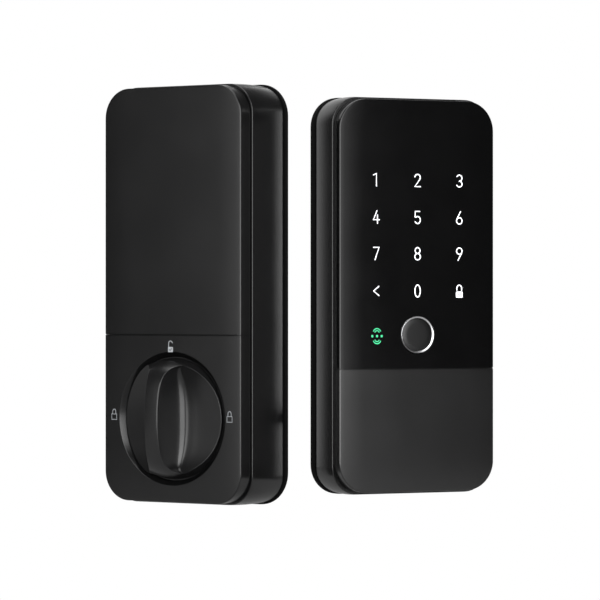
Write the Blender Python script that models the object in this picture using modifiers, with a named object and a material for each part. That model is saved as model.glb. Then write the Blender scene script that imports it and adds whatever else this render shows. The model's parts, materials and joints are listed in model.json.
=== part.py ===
"""Keypad smart lock for a door: an exterior keypad module and an interior thumbturn module.

The scene is in metres, but every number below is in millimetres and degrees: the shape
functions turn them into metres. Each module is drawn in its own frame: X to the right and
Y up on its front face, Z out of the door, with the origin where the axis of the door's
bore meets the module's door face. One empty per module stands that frame upright.
"""

import math

import bmesh
import bpy

MM = 0.001

# How the two modules stand to each other
INTERIOR_PLACE = (-57.5, 33.0)  # interior module's bore axis on its door face, seen from above
INTERIOR_YAW = -63.0  # turn of the interior module about the vertical

# Exterior module, heights above its door face
EXT_GASKET_TOP = 2.9
EXT_RIM = 17.2  # front rim of the housing
EXT_FRONT = 22.2  # face of the glass and of the lower cover
EXT_BOTTOM = -28.6
EXT_TOP = 121.6
EXT_WIDTH = 68.0
EXT_CORNER = 12.2
EXT_WALL = 2.4
EXT_LEDGE_SIDE = 0.8  # the front panel is this much smaller than the housing on each side
EXT_LEDGE_END = 1.0
EXT_SEAM = 18.95  # joint line between the glass and the lower cover
GLASS_THICK = 2.3
FRAME_THICK = 2.1
SENSOR_Y = 31.8  # centre of the fingerprint sensor
RING_RADIUS = 6.95
RAIL_X = 27.0  # rails of the lower cover

# Interior module
INT_GASKET_TOP = 1.3
INT_PLATE_TOP = 3.5
INT_RIM = 21.9
INT_FRONT = 28.4
INT_BOTTOM = -32.5
INT_TOP = 126.5
INT_WIDTH = 67.0
INT_CORNER = 12.2
INT_WALL = 2.2
INT_LEDGE_SIDE = 1.0
INT_LEDGE_END = 0.9
INT_SEAM = 31.7  # joint line between the fascia and the battery cover
PARTITION_Y = (36.0, 37.8)  # wall between the gearbox and the battery bay
COVER_WALL = 1.8

# Thumbturn
DISH_RADIUS = 24.4
DISH_FLOOR_RADIUS = 23.4
DISH_FLOOR = 26.3
KNOB_RADIUS = 23.0
KNOB_BASE = 26.7
KNOB_RIM = 27.6
KNOB_CREST = 41.4
KNOB_DOME_RADIUS = 30.7
KNOB_END_RADIUS = 22.0  # where the dome turns down into the skirt
BLADE_HALF_WIDTH = 3.0
BLADE_END_HALF_WIDTH = 7.2
SCOOP_FLOOR = 28.2
SHAFT_RADIUS = 4.6

# Gear train: (x, y) of each axis and teeth
GEAR_MODULE = 0.7
PRESSURE_ANGLE = 25.0
BACKLASH = 0.15  # taken off the thickness of each tooth
OUTPUT_TEETH = 50
LARGE_TEETH = 30
SMALL_TEETH = 12
OUTPUT_LAYER = (7.8, 10.8)
MIDDLE_LAYER = (11.3, 14.3)
FRONT_LAYER = (14.8, 17.8)
SECOND_GEAR_ANGLE = 115.0  # direction from the thumbturn's axis to the second gear's
FIRST_GEAR_ANGLE = 14.0  # from the second gear's axis to the first gear's
PINION_ANGLE = -11.0  # from the first gear's axis to the motor pinion's
AXLE_RADIUS = 1.0

GAP = 0.3  # clearance between pieces that touch
PLATE_SCREWS = ((-24.0, 118.5), (24.0, 118.5), (-26.0, -22.5), (26.0, -22.5))
HOUSING_SCREWS = ((-26.5, 111.5), (26.5, 111.5), (-17.0, -21.0), (17.0, -21.0))
POST_X = 20.0  # the mounting posts and bolt holes stand this far from the bore axis
GROMMET_Y = 19.5

# name: (base colour, roughness, metallic)
FINISHES = {
    "satin_black": ((0.012, 0.012, 0.013, 1.0), 0.45, 0.0),
    "charcoal": ((0.022, 0.022, 0.023, 1.0), 0.5, 0.3),
    "gloss_black": ((0.004, 0.004, 0.005, 1.0), 0.08, 0.0),
    "dark_rubber": ((0.006, 0.006, 0.006, 1.0), 0.8, 0.0),
    "dark_metal": ((0.05, 0.05, 0.052, 1.0), 0.3, 1.0),
    "steel": ((0.45, 0.45, 0.46, 1.0), 0.3, 1.0),
    "brass": ((0.6, 0.42, 0.16, 1.0), 0.35, 1.0),
    "white_plastic": ((0.7, 0.7, 0.68, 1.0), 0.5, 0.0),
    "board_green": ((0.01, 0.06, 0.03, 1.0), 0.4, 0.0),
    "nylon": ((0.6, 0.58, 0.5, 1.0), 0.45, 0.0),
}

for old in list(bpy.data.objects):
    bpy.data.objects.remove(old, do_unlink=True)

parts = bpy.data.collections.new("keypad_smart_lock")
cutters = bpy.data.collections.new("cutters")
cutters.hide_render = True
for collection in (parts, cutters):
    bpy.context.scene.collection.children.link(collection)


# Outlines


def arc(x, y, radius, start, end, steps):
    """Points on an arc, both ends included, with angles in degrees."""
    turns = [math.radians(start + (end - start) * i / steps) for i in range(steps + 1)]
    return [(x + radius * math.cos(t), y + radius * math.sin(t)) for t in turns]


def circle(x, y, radius, steps=24):
    return arc(x, y, radius, 0.0, 360.0, steps)[:-1]


def rectangle(left, bottom, right, top):
    return [(left, bottom), (right, bottom), (right, top), (left, top)]


def rounded(width, bottom, top, low_radius, high_radius, steps=6):
    """A rectangle centred on X = 0 whose lower and upper corners are rounded, or sharp at 0."""
    half = width / 2
    points = []
    for side, height, radius, start in (
        (1, bottom, low_radius, 270.0),
        (1, top, high_radius, 0.0),
        (-1, top, high_radius, 90.0),
        (-1, bottom, low_radius, 180.0),
    ):
        if radius == 0:
            points.append((side * half, height))
            continue
        inward = radius if height == bottom else -radius
        points += arc(side * (half - radius), height + inward, radius, start, start + 90.0, steps)
    return points


def gear_outline(teeth, turn):
    """An involute gear with short teeth, one tooth centred on the direction turn."""
    pitch = GEAR_MODULE * teeth / 2
    base = pitch * math.cos(math.radians(PRESSURE_ANGLE))
    tip = pitch + 0.8 * GEAR_MODULE
    root = pitch - 1.1 * GEAR_MODULE
    half_at_pitch = (math.pi * GEAR_MODULE / 2 - BACKLASH) / 2 / pitch

    def involute(radius):
        if radius <= base:
            return 0.0
        angle = math.acos(base / radius)
        return math.tan(angle) - angle

    points = []
    for tooth in range(teeth):
        middle = math.radians(turn + 360.0 * tooth / teeth)
        radii = (root, pitch, tip)
        flank = [(r, half_at_pitch + involute(pitch) - involute(r)) for r in radii]
        for radius, half in flank:
            points.append((radius * math.cos(middle - half), radius * math.sin(middle - half)))
        for radius, half in reversed(flank):
            points.append((radius * math.cos(middle + half), radius * math.sin(middle + half)))
    return points


# Solids


def finished(name, mesh, home, place=(0.0, 0.0)):
    """Puts a mesh in the scene as a part whose origin is at the point place of its module."""
    obj = bpy.data.objects.new(name, mesh)
    parts.objects.link(obj)
    obj.parent = home
    obj.location = (place[0] * MM, place[1] * MM, 0.0)
    return obj


def slab(name, loops, low, high, home, place=(0.0, 0.0)):
    """A flat outline, with the loops after the first as holes, from height low to height high."""
    curve = bpy.data.curves.new(name, "CURVE")
    curve.dimensions = "2D"
    curve.fill_mode = "BOTH"
    curve.extrude = (high - low) / 2 * MM
    for loop in loops:
        spline = curve.splines.new("POLY")
        spline.points.add(len(loop) - 1)
        for point, (x, y) in zip(spline.points, loop):
            point.co = (x * MM, y * MM, 0.0, 1.0)
        spline.use_cyclic_u = True
    outline = bpy.data.objects.new(name + "_outline", curve)
    parts.objects.link(outline)
    graph = bpy.context.evaluated_depsgraph_get()
    mesh = bpy.data.meshes.new_from_object(outline.evaluated_get(graph))
    bpy.data.objects.remove(outline)
    shape = bmesh.new()
    shape.from_mesh(mesh)
    bmesh.ops.remove_doubles(shape, verts=shape.verts, dist=1e-6)
    bmesh.ops.translate(shape, verts=shape.verts, vec=(0.0, 0.0, (low + high) / 2 * MM))
    bmesh.ops.recalc_face_normals(shape, faces=shape.faces)
    shape.to_mesh(mesh)
    shape.free()
    return finished(name, mesh, home, place)


def block(name, low, high, home, place=(0.0, 0.0)):
    """A box between two corners."""
    shape = bmesh.new()
    bmesh.ops.create_cube(shape, size=1.0)
    size = [(b - a) * MM for a, b in zip(low, high)]
    middle = [(a + b) / 2 * MM for a, b in zip(low, high)]
    bmesh.ops.scale(shape, verts=shape.verts, vec=size)
    bmesh.ops.translate(shape, verts=shape.verts, vec=middle)
    mesh = bpy.data.meshes.new(name)
    shape.to_mesh(mesh)
    shape.free()
    return finished(name, mesh, home, place)


def rod(name, x, y, radius, low, high, home, steps=32, place=(0.0, 0.0)):
    """A round bar that stands along Z."""
    shape = bmesh.new()
    bmesh.ops.create_cone(
        shape,
        cap_ends=True,
        segments=steps,
        radius1=radius * MM,
        radius2=radius * MM,
        depth=(high - low) * MM,
    )
    bmesh.ops.translate(shape, verts=shape.verts, vec=(x * MM, y * MM, (low + high) / 2 * MM))
    mesh = bpy.data.meshes.new(name)
    shape.to_mesh(mesh)
    shape.free()
    return finished(name, mesh, home, place)


def turned(name, profile, home, place=(0.0, 0.0), steps=32, ring=False):
    """A profile of (radius, height) points, listed top to bottom on its outer side, turned about Z.

    A ring's profile is a closed loop. Any other starts and ends on the axis.
    """
    mesh = bpy.data.meshes.new(name)
    points = [(r * MM, 0.0, z * MM) for r, z in profile]
    edges = [(i, i + 1) for i in range(len(points) - 1)]
    if ring:
        edges.append((len(points) - 1, 0))
    mesh.from_pydata(points, edges, [])
    guide = bpy.data.objects.new(name + "_profile", mesh)
    parts.objects.link(guide)
    screw = guide.modifiers.new("turn", "SCREW")
    screw.steps = steps
    screw.render_steps = steps
    screw.use_merge_vertices = True
    screw.merge_threshold = 1e-6
    graph = bpy.context.evaluated_depsgraph_get()
    body = bpy.data.meshes.new_from_object(guide.evaluated_get(graph))
    bpy.data.objects.remove(guide)
    shape = bmesh.new()
    shape.from_mesh(body)
    bmesh.ops.remove_doubles(shape, verts=shape.verts, dist=1e-6)
    bmesh.ops.recalc_face_normals(shape, faces=shape.faces)
    shape.to_mesh(body)
    shape.free()
    body.name = name
    return finished(name, body, home, place)


def combine(obj, operation, tools):
    for tool in tools:
        parts.objects.unlink(tool)
        cutters.objects.link(tool)
        tool.hide_render = True
        tool.display_type = "WIRE"
        change = obj.modifiers.new(tool.name, "BOOLEAN")
        change.operation = operation
        change.solver = "EXACT"
        change.object = tool
    return obj


def cut(obj, *tools):
    return combine(obj, "DIFFERENCE", tools)


def join(obj, *tools):
    return combine(obj, "UNION", tools)


def ease(obj, width, segments=1):
    """Rounds the sharp edges over."""
    bevel = obj.modifiers.new("eased_edges", "BEVEL")
    bevel.width = width * MM
    bevel.segments = segments
    bevel.limit_method = "ANGLE"
    bevel.angle_limit = math.radians(60.0)
    return obj


def paint(finish, *objects):
    colour, roughness, metallic = FINISHES[finish]
    for obj in objects:
        material = bpy.data.materials.new(obj.name)
        material.use_nodes = True
        shader = material.node_tree.nodes["Principled BSDF"]
        shader.inputs["Base Color"].default_value = colour
        shader.inputs["Roughness"].default_value = roughness
        shader.inputs["Metallic"].default_value = metallic
        obj.data.materials.clear()
        obj.data.materials.append(material)
        obj.data.shade_smooth()
        obj.data.set_sharp_from_angle(angle=math.radians(35.0))


def module(name, place, yaw):
    """The empty that holds a module's frame: X right, Y up and Z out of the door."""
    empty = bpy.data.objects.new(name, None)
    parts.objects.link(empty)
    empty.location = (place[0] * MM, place[1] * MM, 0.0)
    empty.rotation_euler = (math.radians(90.0), 0.0, math.radians(yaw))
    bpy.context.view_layer.update()
    return empty


def screw(name, place, shank_end, head_low, head_high, home):
    """A pan-head screw: a head with a cross recess, and a plain shank."""
    body = turned(
        name,
        [
            (0.0, head_high),
            (1.9, head_high),
            (2.6, head_high - 0.6),
            (2.6, head_low),
            (1.2, head_low),
            (1.2, shank_end),
            (0.0, shank_end),
        ],
        home,
        place,
        steps=16,
    )
    deep = head_high - 0.8
    long_way = block(name + "_slot_x", (-1.5, -0.3, deep), (1.5, 0.3, head_high + 1), home, place)
    short_way = block(name + "_slot_y", (-0.3, -1.5, deep), (0.3, 1.5, head_high + 1), home, place)
    return cut(body, long_way, short_way)


def back_screw(name, place, shank_end, head_low, head_high, home):
    """The same screw driven from the door side: its head is at the low end."""
    body = turned(
        name,
        [
            (0.0, shank_end),
            (1.2, shank_end),
            (1.2, head_high),
            (2.6, head_high),
            (2.6, head_low + 0.5),
            (1.9, head_low),
            (0.0, head_low),
        ],
        home,
        place,
        steps=16,
    )
    deep = head_low + 0.7
    long_way = block(name + "_slot_x", (-1.5, -0.3, head_low - 1), (1.5, 0.3, deep), home, place)
    short_way = block(name + "_slot_y", (-0.3, -1.5, head_low - 1), (0.3, 1.5, deep), home, place)
    return cut(body, long_way, short_way)


# Exterior module: casing, keypad and lower cover


def exterior_outline(inset):
    radius = EXT_CORNER - inset
    return rounded(EXT_WIDTH - 2 * inset, EXT_BOTTOM + inset, EXT_TOP - inset, radius, radius)


def exterior_casing(home):
    gasket = slab(
        "exterior_gasket",
        [exterior_outline(0.5), circle(0, 0, 24.0)],
        0.0,
        EXT_GASKET_TOP,
        home,
    )
    floor_low = EXT_GASKET_TOP + GAP
    floor_high = floor_low + EXT_WALL
    housing = slab("exterior_housing", [exterior_outline(0.0)], floor_low, EXT_RIM, home)
    ease(housing, 0.5)
    pocket = slab("ext_pocket", [exterior_outline(EXT_WALL)], floor_high, EXT_RIM + 5, home)
    holes = [rod("ext_cylinder_hole", 0, 0, 13.3, 0, 9, home)]
    holes.append(rod("ext_grommet_hole", 0, GROMMET_Y, 3.4, 0, 9, home, steps=24))
    for side in (-1, 1):
        holes.append(rod(f"ext_post_hole_{side}", side * POST_X, 0, 3.3, 0, 9, home, steps=24))
    for number, (x, y) in enumerate(HOUSING_SCREWS, 1):
        head = rod(f"ext_head_hole_{number}", x, y, 3.0, 0, floor_low + 1.5, home, steps=16)
        shank = rod(f"ext_shank_hole_{number}", x, y, 1.6, 0, 9, home, steps=16)
        holes += [head, shank]
    cut(housing, pocket, *holes)
    paint("dark_rubber", gasket)
    paint("satin_black", housing)


def keyway_plate(home):
    """The plate behind the lower cover. The cover's rails run in its two slots."""
    inset = EXT_WALL + GAP
    low, high = EXT_RIM - 2.2, EXT_RIM
    width = EXT_WIDTH - 2 * inset
    outline = rounded(width, EXT_BOTTOM + inset, EXT_SEAM - 0.3, EXT_CORNER - inset, 0)
    slots = [
        rectangle(side * RAIL_X - 1.3, -21.5, side * RAIL_X + 1.3, 17.0) for side in (-1, 1)
    ]
    port = rectangle(-4.8, -21.4, 4.8, -17.4)
    plate = slab("keyway_plate", [outline, circle(0, 0, 11.5), port, *slots], low, high, home)
    bosses = []
    for number, (x, y) in enumerate(HOUSING_SCREWS[2:], 3):
        boss = slab(
            f"keyway_boss_{number}",
            [circle(x, y, 2.9, 20), circle(x, y, 1.5, 16)],
            6.5,
            low + 0.5,
            home,
        )
        bosses.append(boss)
    join(plate, *bosses)
    paint("satin_black", plate)


def keypad(home):
    width = EXT_WIDTH - 2 * EXT_LEDGE_SIDE
    corner = EXT_CORNER - EXT_LEDGE_SIDE
    bottom, top = EXT_SEAM + 0.15, EXT_TOP - EXT_LEDGE_END
    outline = rounded(width, bottom, top, 0, corner)
    frame_low = EXT_RIM + GAP
    frame_high = frame_low + FRAME_THICK
    glass_low = EXT_FRONT - GLASS_THICK
    window = rectangle(-25.0, 42.0, 25.0, 97.0)
    frame = slab(
        "keypad_frame",
        [outline, circle(0, SENSOR_Y, 7.5), window],
        frame_low,
        frame_high,
        home,
    )
    bosses = []
    for number, (x, y) in enumerate(HOUSING_SCREWS[:2], 1):
        boss = slab(
            f"frame_boss_{number}",
            [circle(x, y, 2.9, 20), circle(x, y, 1.5, 16)],
            6.5,
            frame_low + 0.5,
            home,
        )
        bosses.append(boss)
    join(frame, *bosses)
    glass = slab("keypad_glass", [outline, circle(0, SENSOR_Y, 7.25)], glass_low, EXT_FRONT, home)
    ease(glass, 0.4)
    guide = slab("light_guide", [rectangle(-24.7, 42.3, 24.7, 96.7)], frame_low, frame_high, home)
    ring = turned(
        "fingerprint_ring",
        [
            (6.6, EXT_FRONT + 0.3),
            (RING_RADIUS, EXT_FRONT),
            (RING_RADIUS, 19.0),
            (6.15, 19.0),
            (6.15, EXT_FRONT - 0.2),
        ],
        home,
        (0.0, SENSOR_Y),
        ring=True,
    )
    sensor = turned(
        "fingerprint_sensor",
        [
            (0.0, EXT_FRONT - 0.9),
            (2.9, EXT_FRONT - 0.8),
            (5.5, EXT_FRONT - 0.4),
            (5.85, EXT_FRONT - 0.5),
            (5.85, 17.6),
            (0.0, 17.6),
        ],
        home,
        (0.0, SENSOR_Y),
    )
    paint("satin_black", frame)
    paint("gloss_black", glass, sensor)
    paint("white_plastic", guide)
    paint("dark_metal", ring)


def lower_cover(home):
    """The cover slides down its rails to bare the keyway. Its lips hook behind the plate."""
    width = EXT_WIDTH - 2 * EXT_LEDGE_SIDE
    corner = EXT_CORNER - EXT_LEDGE_SIDE
    bottom, top = EXT_BOTTOM + EXT_LEDGE_END, EXT_SEAM - 0.15
    low = EXT_RIM + GAP
    cover = slab("lower_cover", [rounded(width, bottom, top, corner, 0)], low, EXT_FRONT, home)
    ease(cover, 0.4)
    inner = rounded(
        width - 2 * COVER_WALL, bottom + COVER_WALL, top - COVER_WALL, corner - COVER_WALL, 0
    )
    cut(cover, slab("lower_cover_hollow", [inner], low - 1, EXT_FRONT - COVER_WALL, home))
    rails = []
    for side in (-1, 1):
        stem = sorted((side * (RAIL_X - 0.8), side * (RAIL_X + 0.8)))
        lip = sorted((side * (RAIL_X - 2.5), side * (RAIL_X + 0.8)))
        name = "left" if side < 0 else "right"
        top_of_stem = EXT_FRONT - COVER_WALL + 0.4
        rails.append(
            block(f"stem_{name}", (stem[0], 10.7, 13.2), (stem[1], 16.7, top_of_stem), home)
        )
        rails.append(block(f"lip_{name}", (lip[0], 11.0, 13.4), (lip[1], 16.4, 14.6), home))
    join(cover, *rails)
    paint("charcoal", cover)


# Exterior module: lock cylinder, posts and electronics


def key_cylinder(home):
    body = turned(
        "cylinder_body",
        [
            (10.6, 17.0),
            (11.1, 16.5),
            (11.1, 8.2),
            (15.0, 8.2),
            (15.0, 5.9),
            (12.8, 5.9),
            (12.8, 3.3),
            (6.5, 3.3),
            (6.5, 17.0),
        ],
        home,
        ring=True,
        steps=32,
    )
    plug = turned(
        "key_plug",
        [(0.0, 17.0), (5.9, 17.0), (6.3, 16.6), (6.3, 4.2), (0.0, 4.2)],
        home,
        steps=32,
    )
    cut(plug, block("keyway_slot", (-0.9, -4.5, 7.0), (0.9, 4.0, 20.0), home))
    tail = rod("tailpiece", 0, 0, 5.6, 1.8, 3.9, home, steps=24)
    join(tail, block("tailpiece_bar", (-3.2, -0.9, -44.0), (3.2, 0.9, 2.2), home))
    paint("steel", body, tail)
    paint("brass", plug)


def mounting_post(name, side, home):
    post = turned(
        name,
        [
            (0.0, 7.4),
            (4.2, 7.4),
            (4.2, 5.9),
            (3.0, 5.9),
            (3.0, -11.6),
            (2.6, -12.0),
            (1.7, -12.0),
            (1.7, 0.0),
            (0.0, 0.0),
        ],
        home,
        (side * POST_X, 0.0),
        steps=24,
    )
    paint("steel", post)


def exterior_electronics(home):
    board = slab("keypad_circuit_board", [rectangle(-28, 24, 28, 106)], 12.6, 14.2, home)
    radio = block("wireless_module", (3.0, 82.0, 9.8), (17.0, 100.0, 12.3), home)
    ease(radio, 0.4)
    speaker = turned(
        "speaker",
        [
            (0.0, 12.3),
            (7.0, 12.3),
            (7.0, 9.2),
            (5.6, 8.7),
            (4.2, 9.1),
            (0.0, 8.9),
        ],
        home,
        (-14.0, 92.0),
        steps=24,
    )
    socket = block("board_connector", (-6.0, 26.0, 9.3), (6.0, 31.0, 12.3), home)
    cut(socket, block("connector_mouth", (-5.0, 27.0, 8.0), (5.0, 30.0, 11.3), home))
    antenna = slab("ranging_antenna", [rectangle(-15, 101.5, 15, 115)], 15.4, 16.4, home)
    grommet = turned(
        "cable_grommet",
        [
            (3.0, 7.4),
            (4.2, 7.0),
            (4.2, 5.9),
            (3.1, 5.9),
            (3.1, 2.9),
            (4.2, 2.9),
            (4.2, 1.7),
            (3.0, 1.3),
            (1.9, 1.3),
            (1.9, 7.4),
        ],
        home,
        (0.0, GROMMET_Y),
        steps=24,
        ring=True,
    )
    port = block("usb_port", (-4.5, -21.1, 9.0), (4.5, -17.7, 16.9), home)
    ease(port, 0.9)
    tongue_hole = slab(
        "port_mouth",
        [rectangle(-4.0, -20.7, 4.0, -18.1), rectangle(-3.1, -19.75, 3.1, -19.05)],
        9.8,
        18.0,
        home,
    )
    cut(port, tongue_hole)
    paint("board_green", board, antenna)
    paint("steel", radio, port)
    paint("dark_metal", speaker)
    paint("white_plastic", socket)
    paint("dark_rubber", grommet)


# Interior module: casing and covers


def interior_outline(inset):
    radius = INT_CORNER - inset
    return rounded(INT_WIDTH - 2 * inset, INT_BOTTOM + inset, INT_TOP - inset, radius, radius)


def interior_casing(home):
    opening = circle(0, 0, 14.0, 32)
    cable_window = rectangle(-8.0, 25.0, 8.0, 34.0)
    gasket = slab(
        "interior_gasket",
        [interior_outline(0.5), rounded(50.0, -17.0, 37.0, 8.0, 8.0)],
        0.0,
        INT_GASKET_TOP,
        home,
    )
    bolt_holes = [circle(side * POST_X, 0, 2.3, 16) for side in (-1, 1)]
    screw_holes = [circle(x, y, 1.5, 12) for x, y in PLATE_SCREWS]
    plate = slab(
        "mounting_plate",
        [interior_outline(0.5), opening, cable_window, *bolt_holes, *screw_holes],
        INT_GASKET_TOP + GAP,
        INT_PLATE_TOP,
        home,
    )
    floor_low = INT_PLATE_TOP + GAP
    floor_high = floor_low + 2.0
    housing = slab("interior_housing", [interior_outline(0.0)], floor_low, INT_RIM, home)
    ease(housing, 0.5)
    inset = INT_WALL
    width = INT_WIDTH - 2 * inset
    radius = INT_CORNER - inset
    gear_room = rounded(width, INT_BOTTOM + inset, PARTITION_Y[0], radius, 0)
    battery_room = rounded(width, PARTITION_Y[1], INT_TOP - inset, 0, radius)
    holes = [
        slab("int_gear_room", [gear_room], floor_high, INT_RIM + 5, home),
        slab("int_battery_room", [battery_room], floor_high, INT_RIM + 5, home),
        rod("int_hub_hole", 0, 0, 7.0, 0, 9, home),
        block("int_cable_window", (-6.5, 26.0, 0.0), (6.5, 33.0, 9.0), home),
        block("int_wire_notch", (16.0, 35.0, 14.0), (22.0, 39.0, 30.0), home),
    ]
    for number, (x, y) in enumerate(PLATE_SCREWS, 1):
        holes.append(rod(f"int_screw_hole_{number}", x, y, 1.6, 0, 9, home, steps=16))
    cut(housing, *holes)
    paint("dark_rubber", gasket)
    paint("dark_metal", plate)
    paint("satin_black", housing)


def fascia(home):
    """The lower front cover, with the dish that the thumbturn sits in."""
    width = INT_WIDTH - 2 * INT_LEDGE_SIDE
    corner = INT_CORNER - INT_LEDGE_SIDE
    bottom, top = INT_BOTTOM + INT_LEDGE_END, INT_SEAM - 0.15
    low = INT_RIM + GAP
    cover = slab("fascia", [rounded(width, bottom, top, corner, 0)], low, INT_FRONT, home)
    ease(cover, 0.4)
    inner = rounded(
        width - 2 * COVER_WALL, bottom + COVER_WALL, top - COVER_WALL, corner - COVER_WALL, 0
    )
    dish = turned(
        "dish",
        [
            (0.0, INT_FRONT + 2),
            (DISH_RADIUS, INT_FRONT + 2),
            (DISH_RADIUS, INT_FRONT),
            (DISH_FLOOR_RADIUS, DISH_FLOOR),
            (0.0, DISH_FLOOR),
        ],
        home,
        steps=64,
    )
    hollow = slab("fascia_hollow", [inner], low - 1, DISH_FLOOR - 1.7, home)
    cut(cover, hollow, dish, rod("fascia_shaft_hole", 0, 0, 7.3, 20, 30, home))
    bush = slab(
        "thumbturn_bushing", [circle(0, 0, 7.0), circle(0, 0, SHAFT_RADIUS + 0.3)], 22.6, 26.1, home
    )
    paint("satin_black", cover)
    paint("nylon", bush)


def battery_cover(home):
    """The upper front cover. It slides up on two runners and lifts off the battery."""
    width = INT_WIDTH - 2 * INT_LEDGE_SIDE
    corner = INT_CORNER - INT_LEDGE_SIDE
    bottom, top = INT_SEAM + 0.15, INT_TOP - INT_LEDGE_END
    low = INT_RIM + GAP
    cover = slab("battery_cover", [rounded(width, bottom, top, 0, corner)], low, INT_FRONT, home)
    ease(cover, 0.4)
    # The lower end is open, so that the cover clears the battery as it slides up.
    inner = rounded(
        width - 2 * COVER_WALL, bottom - 1, top - COVER_WALL, 0, corner - COVER_WALL
    )
    cut(cover, slab("battery_cover_hollow", [inner], low - 1, INT_FRONT - COVER_WALL, home))
    runners = []
    for side, name in ((-1, "left"), (1, "right")):
        across = sorted((side * 28.0, side * 29.4))
        runners.append(
            block(f"runner_{name}", (across[0], 55.0, 19.5), (across[1], 90.0, 27.0), home)
        )
    join(cover, *runners)
    paint("satin_black", cover)


# Interior module: battery and electronics


def battery_bay(home):
    pack = block("battery_pack", (-25.0, 42.5, 9.4), (25.0, 113.0, 24.6), home)
    ease(pack, 2.0)
    tab = slab("battery_pull_tab", [rounded(10.0, 46.0, 72.0, 0, 4.0, 6)], 24.9, 25.5, home)
    contacts = block("battery_contacts", (-12.0, 38.2, 8.0), (12.0, 42.1, 16.0), home)
    board = slab("interior_circuit_board", [rectangle(-29, 39.5, 29, 114)], 6.1, 7.5, home)
    shield = block("control_module", (-20.0, 60.0, 7.8), (-4.0, 80.0, 9.0), home)
    switch = block("setup_switch", (25.4, 43.0, 7.8), (30.4, 48.0, 10.9), home)
    button = rod("setup_button", 0, 0, 1.8, 12.2, 15.0, home, steps=24, place=(27.9, 45.5))
    ease(button, 0.3)
    paint("charcoal", pack)
    paint("white_plastic", tab, button)
    paint("brass", contacts)
    paint("board_green", board)
    paint("steel", shield, switch)


def cable_and_buzzer(home):
    socket = block("cable_socket", (-6.0, 26.4, 4.2), (6.0, 32.6, 7.2), home)
    cut(socket, block("cable_mouth", (-5.0, 27.4, 3.0), (5.0, 31.6, 6.4), home))
    buzzer = slab("buzzer", [circle(-10.0, -24.0, 5.6, 24)], 6.1, 10.1, home)
    cut(buzzer, rod("buzzer_hole", -10.0, -24.0, 1.2, 8.0, 12.0, home, steps=12))
    paint("white_plastic", socket)
    paint("dark_metal", buzzer)


# Interior module: thumbturn and gear train


def toward(point, angle, distance):
    turn = math.radians(angle)
    return (point[0] + distance * math.cos(turn), point[1] + distance * math.sin(turn))


def pitch_radius(teeth):
    return GEAR_MODULE * teeth / 2


def meshing_turn(direction, teeth):
    """Turns a gear of so many teeth so that a gap meets the tooth coming along a direction."""
    return direction + 180.0 + 180.0 / teeth


def gear_train(home):
    centre = (0.0, 0.0)
    near = pitch_radius(OUTPUT_TEETH) + pitch_radius(SMALL_TEETH)
    far = pitch_radius(LARGE_TEETH) + pitch_radius(SMALL_TEETH)
    second = toward(centre, SECOND_GEAR_ANGLE, near)
    first = toward(second, FIRST_GEAR_ANGLE, far)
    motor = toward(first, PINION_ANGLE, far)
    bore = AXLE_RADIUS + 0.2

    output = slab(
        "output_gear",
        [gear_outline(OUTPUT_TEETH, SECOND_GEAR_ANGLE), circle(0, 0, SHAFT_RADIUS + 0.2)],
        *OUTPUT_LAYER,
        home,
    )
    compound = []
    for name, place, low_layer, high_layer, small_turn, large_turn in (
        (
            "second_gear",
            second,
            OUTPUT_LAYER,
            MIDDLE_LAYER,
            meshing_turn(SECOND_GEAR_ANGLE, SMALL_TEETH),
            FIRST_GEAR_ANGLE,
        ),
        (
            "first_gear",
            first,
            MIDDLE_LAYER,
            FRONT_LAYER,
            meshing_turn(FIRST_GEAR_ANGLE, SMALL_TEETH),
            PINION_ANGLE,
        ),
    ):
        large = slab(name, [gear_outline(LARGE_TEETH, large_turn)], *high_layer, home, place)
        small = slab(
            name + "_small",
            [gear_outline(SMALL_TEETH, small_turn)],
            low_layer[0],
            high_layer[0] + 0.4,
            home,
            place,
        )
        join(large, small)
        cut(large, rod(name + "_bore", 0, 0, bore, 0, 30, home, steps=16, place=place))
        compound.append(large)
    pinion = slab(
        "motor_pinion",
        [gear_outline(SMALL_TEETH, meshing_turn(PINION_ANGLE, SMALL_TEETH))],
        *FRONT_LAYER,
        home,
        motor,
    )
    can = turned(
        "motor",
        [
            (0.0, 14.4),
            (2.0, 14.4),
            (2.0, 14.0),
            (7.4, 14.0),
            (7.6, 13.8),
            (7.6, 6.2),
            (0.0, 6.2),
        ],
        home,
        motor,
        steps=32,
    )
    axles = [
        rod(f"gear_axle_{number}", 0, 0, AXLE_RADIUS, 6.3, 19.3, home, steps=16, place=place)
        for number, place in ((1, first), (2, second))
    ]
    plate = rounded(61.0, -30.0, 35.6, 9.0, 0)
    axle_holes = [circle(*place, AXLE_RADIUS + 0.15, 16) for place in (first, second)]
    cover = slab(
        "gearbox_cover",
        [plate, circle(0, 0, SHAFT_RADIUS + 0.8), *axle_holes],
        18.3,
        19.6,
        home,
    )
    # The base leaves room for the motor, the cable socket, the buzzer and the plate screws.
    base = slab(
        "gearbox_base",
        [
            rectangle(-24.0, -11.0, 30.8, 35.6),
            circle(0, 0, 7.4),
            rectangle(-6.4, 26.0, 6.4, 33.0),
            circle(*motor, 8.0),
            *axle_holes,
        ],
        6.1,
        7.3,
        home,
    )
    paint("nylon", output, pinion, *compound)
    paint("steel", can, *axles)
    paint("satin_black", cover)
    paint("dark_metal", base)


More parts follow.
